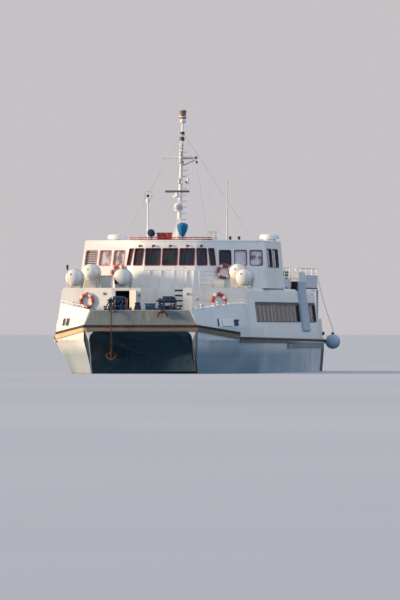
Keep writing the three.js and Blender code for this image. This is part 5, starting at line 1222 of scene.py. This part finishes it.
# Battens and panel lines on the wheelhouse's foot, boxes on the deck before it
DECK_SEAT = DECK_Z + CLEAR
PORT_CORNER, PORT_FLANK = on_facet(*UPPER_FRONT[1:3]), on_facet(*UPPER_FRONT[2:4])
foot = Form()
for place, u in [(CENTRE, u) for u in (-0.95, -0.4, 0.2, 0.87, 1.22)] + [
        (PORT_CORNER, 0.14), (PORT_FLANK, 0.36)]:
    foot.tube([place(u, 4.12, 0.02), place(u, 4.95, 0.02)], 0.03, "white_clean")
for z in (4.3, 4.52, 4.74, 4.93):
    foot.tube([PORT_CORNER(0.16, z, 0.012), PORT_CORNER(0.6, z, 0.012),
               PORT_FLANK(0.02, z, 0.012), PORT_FLANK(0.36, z, 0.012)], 0.012, "white_clean", 8)
foot.tube([CENTRE(-1.25, 4.99, 0.014), CENTRE(1.25, 4.99, 0.014)], 0.016, "white_clean", 8)
for row in ((2.24, 2.74, 7.35, 7.8, DECK_SEAT, 4.47, "white_clean"),
            (2.22, 2.76, 7.33, 7.82, 4.47, 4.51, "white_clean"),
            (-3.26, -2.74, 6.95, 7.5, DECK_SEAT, 4.68, "grey_canister"),
            (-3.28, -2.72, 6.93, 7.52, 4.68, 4.72, "grey_canister"),
            (-3.82, -3.28, 5.98, 6.14, DECK_SEAT, 4.47, "rack"),
            (-3.9, -3.3, 6.62, 6.78, DECK_SEAT, 4.47, "rack")):
    foot.box(*row)
foot.tube([at(-4.24, 3.95, 3.86), at(-4.3, 3.95, 5)], 0.014, "grey", 8)
foot.lathe([(0, 0), (50, 5), (55, 200), (30, 240), (0, 250)], at(-4.3, 3.95, 4.97), "black", 16)
foot.make("wheelhouse_foot_fittings", slot="house", bevel=0.008)

# A frame round the fore door, lamps beside it and rods across the house's foot
door = Form()
door.rim(on_house, (-1.78, -1.1), (2.33, 3.95), "grey", 0, 0.02, 0.04, 0.003)
for x, z in ((-2.35, 3.82), (2.18, 3.55), (-0.62, 3.75), (1.72, 3.8)):
    door.lathe([(50, 0), (70, 10), (65, 60), (0, 75)], on_house(x, z, 0), "grey", 20, -Y)
for x in (-3.9, -3.3, -2.7):
    door.tube([on_house(x, 2.42, 0.03), on_house(x + 0.35, 2.42, 0.03)], 0.016, "white_clean", 8)
door.make("house_front_fittings", slot="house", bevel=0.006)

# Louvres and bolt heads of the vent trunks
SLAT_TILT = Matrix.Rotation(math.radians(30), 3, "X")
trunks = Form()
for side in SIDES.values():
    for i in range(7):
        z = 3.99 + i * 0.068
        trunks.box(*sorted((side * 4.1, side * 4.44)), 18.76, 18.8, z, z + 0.05, "black",
                   SLAT_TILT)
    across = sorted((side * 4.08, side * 4.46))
    trunks.box(*across, 18.785, 18.799, 3.96, 4.49, "black")
    for z in (3.95, 4.48):
        trunks.box(*across, 18.75, 18.8, z, z + 0.025, "trunk")
    for z in (2.55, 3.1, 3.65):
        for aft in (18.95, 21.05):
            trunks.lathe([(30, 0), (30, 12), (0, 18)],
                         on_side(side)(aft, z, 0.08), "steel", 12, Vector((side, 0, 0.12)))
trunks.make("trunk_louvres", slot="trunk", bevel=0.003)

# Open deck: slatted benches and lockers, then panels and wires between the rail posts
benches = Form()
for x, count, pitch in ((-3.6, 3, 0.95), (-1.3, 5, 1.5), (1.3, 5, 1.5), (3.6, 3, 0.95)):
    for row in range(count):
        aft = 15.9 + row * pitch
        for leg, post in ((x - 0.42, x - 0.4), (x + 0.38, x + 0.36)):
            benches.box(leg, leg + 0.04, aft, aft + 0.4, DECK_Z + SEAT, 4.5, "grey")
            benches.box(post, post + 0.04, aft + 0.465, aft + 0.52, 4.45, 4.98, "grey")
        for i in range(4):
            start = aft + i * 0.11
            benches.box(x - 0.48, x + 0.48, start, start + 0.085, 4.5, 4.53, "bench")
        for i in range(3):
            start, z = aft + 0.44 + i * 0.02, 4.6 + i * 0.14
            benches.box(x - 0.48, x + 0.48, start, start + 0.025, z, z + 0.11, "bench")
for x in (-2.9, 2.9):
    for aft in (23.2, 24.6):
        benches.box(x - 0.55, x + 0.55, aft, aft + 0.55, DECK_Z + SEAT, 4.58, "canister")
        benches.box(x - 0.58, x + 0.58, aft - 0.03, aft + 0.58, 4.58, 4.64, "canister")
benches.make("open_deck_benches", slot="seats", bevel=0.008)

panels = Form()
for side in SIDES.values():
    for thick, start, end, z0, z1, look in ((0.012, 21.9, 26.7, 4.2, 4.84, "panel"),
                                            (0.02, 21.6, 26.75, 4.13, 4.2, "dark_frame"),
                                            (0.012, 15.3, 18.6, 4.2, 4.6, "panel")):
        panels.box(*sorted((side * 4.16, side * (4.16 + thick))), start, end, z0, z1, look)
    panels.rings([[at(side * x, aft, z) for aft, z in (
        (21.35, 4.14), (21.55, 4.14), (22, 4.92), (21.8, 4.92))] for x in (4.145, 4.175)],
        "red_frame")
    for z in (4.38, 4.94):
        for start, end in ((15.2, 18.75), (21.25, 26.88)):
            panels.tube([at(side * 4.12, start, z), at(side * 4.12, end, z)], 0.008, "wire", 6)
panels.make("open_deck_panels", slot="rail_strip", bevel=0.004)

# Stern: dark strips down the transom's outer corners, exhausts, a lamp, and a knob outside
# the port quarter's bulwark
stern = Form()
for side in SIDES.values():
    stern.rings([[at(side * (half + out), aft, z) for out, aft in (
        (-0.05, 26.93), (0.012, 26.93), (0.012, 27.012), (-0.05, 27.012))]
        for z, half in ((-0.1, 4.345), (0.4, 4.39), (0.8, 4.42), (1.3, 4.455))], "rubber")
    for x in (3.55, 2.75):
        stern.lathe([(120, 1), (120, 90), (90, 95), (85, 20), (0, 15)],
                    at(side * x, 27, 0.55), "black", 24, Y)
stern.lathe([(50, 0), (70, 20), (60, 100), (30, 140)], at(0, 26.88, 5.18), "lamp", 20)
stern.lathe([(50, -20), (50, 20), (90, 30), (90, 90), (50, 110), (0, 110)],
            at(4.475, 26.38, 1.91), "black", 20, X)
stern.make("stern_fittings", slot="fender", bevel=0.004)

# Ball fender: a smooth skin with a seam, an eye and a dark shackle
ball = Form()
ball.lathe([(BALL_RADIUS * math.sin(t), -BALL_RADIUS * math.cos(t)) for t in arc(0, 162, 27)],
           BALL, "fender", 48, unit=METRE)
ball.lathe([(82, 362), (82, 375), (72, 410), (60, 455), (35, 464), (0, 465)], BALL, "black", 32)
ball.torus(BALL + Z * 0.428, 0.066, 0.012, "black", 28, 8)
ball.torus(BALL, 0.3735, 0.005, "fender", 48, 6)
ball.make("ball_fender_skin", slot="fender", replaces=["fender_ball"])

# Propellers: four twisted blades on a hub
for name, side in SIDES.items():
    screw = Form()
    hub = at(side * 3.14, 25.1, -0.8)
    screw.lathe([(45, -4050), (45, -120), (90, -100), (95, 0), (90, 60),
                 (60, 130), (0, 160)], hub, "bronze", 28, Y)
    for out_way in circle(Vector(), X, Z, arc(45, 315, 3)):
        round_way = Y.cross(out_way)
        rings = []
        for step in range(9):
            chord = 0.235 * (1 - (abs(step - 4.6) / 5.6) ** 2.6)
            pitch = math.radians(68 - 34 * step / 8) * side
            chord_way = round_way * math.cos(pitch) + Y * math.sin(pitch)
            thick_way = chord_way.cross(out_way) * 0.012 * (1.2 - step / 9)
            rings.append(circle(hub + out_way * (0.07 + 0.325 * step / 8),
                                chord_way * chord / 2, thick_way, turns(12)))
        screw.rings(rings, "bronze")
    screw.make(f"propeller_{name}_blades", f"propeller_{name}", slot="propeller",
               replaces=[f"propeller_{name}"])

# Windows of both aft bulkheads: dark frames and tinted panes, and lamps over the lower ones
stern_windows = Form()
for aft, (low, high), spans in ((25.06, (2.5, 3.4), ((-2.4, -1), (1, 2.4))),
                                (14.96, (5.15, 6), ((-3.4, -2.4), (-2, -1), (1, 2), (2.4, 3.4)))):
    def on_bulkhead(u, v, out, aft=aft):
        return at(u, aft + out, v)
    for span in spans:
        stern_windows.rim(on_bulkhead, span, (low, high), "dark_frame", 0.02, 0.045, 0.07, 0.014)
        stern_windows.slab(on_bulkhead, span, (low, high), -0.045, 0.012, "side_glass")
for x in (-3.6, 0, 3.6):
    stern_windows.lathe([(90, 0), (90, 20), (75, 30), (60, 70), (0, 85)],
                        at(x, 25.061, 3.82), "lamp", 24, Vector((0, 1, -0.2)))
stern_windows.make("aft_windows", slot="glass", bevel=0.004)

# Painted shade: dark strips on and just under the fore ladder's rungs
rung_shade = Form()
for i in range(7):
    z = FORE_DECK_Z + 0.3 + i * 0.25
    rung_shade.tube([at(0.492, 6.5, z), at(0.868, 6.5, z)], 0.03, "rung_shade_dark", 12)
    rung_shade.box(0.5, 0.86, 6.46, 6.475, z - 0.055, z + 0.01, "rung_shade_dark")
rung_shade.make("fore_ladder_rung_shade", slot="house", bevel=0.003)


# Light: a low warm sun off the starboard beam. The sky is pale astern and brighter and bluer
# ahead of the bow, and dark below the horizon
world = bpy.data.worlds.new("sky")
bpy.context.scene.world = world
world.use_nodes = True
tree = world.node_tree
PALE_SKY, BLUE_SKY, BELOW = (0.56, 0.535, 0.555, 1), (0.56, 0.68, 0.88, 1), (0.03, 0.085, 0.15, 1)
heading = add_node(tree, "ShaderNodeTexCoord")
ahead = add_node(tree, "ShaderNodeVectorMath", {0: heading, 1: (0.8, -0.6, 0)}, "Value",
                 operation="DOT_PRODUCT")
ahead = add_node(tree, "ShaderNodeMapRange", {"Value": ahead, "From Min": -0.3, "From Max": 0.6})
rise = add_node(tree, "ShaderNodeSeparateXYZ", {0: heading}, "Z")
above = add_node(tree, "ShaderNodeMapRange", {"Value": rise, "From Min": -0.02, "From Max": 0})
sky = add_node(tree, "ShaderNodeMix", {0: ahead, 6: PALE_SKY, 7: BLUE_SKY}, 2, data_type="RGBA")
whole = add_node(tree, "ShaderNodeMix", {0: above, 6: BELOW, 7: sky}, 2, data_type="RGBA")
tree.links.new(whole, tree.nodes["Background"].inputs["Color"])

SUN_FROM = Vector((-0.948, -0.25, 0.145))
sun_data = bpy.data.lights.new("sun", "SUN")
sun_data.energy = 5
sun_data.color = (1, 0.77, 0.52)
sun_data.angle = math.radians(8)
aimed_object("sun", sun_data, Vector(), SUN_FROM, "Z")
bpy.context.scene.view_settings.view_transform = "Standard"

# Floor at the waterline. It takes shadows but lights nothing
floor_shader = Shader("floor", 0.9)
floor_share = floor_shader.spread(floor_shader.noise(0.02), 0.3, 0.7)
floor_shader.tree.links.new(floor_shader.mix(floor_share, (186, 192, 200), (196, 201, 208)),
                            floor_shader.surface["Base Color"])
HALF = 3000
floor_mesh = bpy.data.meshes.new("floor")
floor_mesh.from_pydata([(-HALF, -HALF, 0), (HALF, -HALF, 0), (HALF, HALF, 0), (-HALF, HALF, 0)],
                       [], [(0, 1, 2, 3)])
floor_mesh.materials.append(floor_shader.material)
floor = new_object("floor", floor_mesh)
floor.visible_diffuse = False
floor.visible_glossy = False
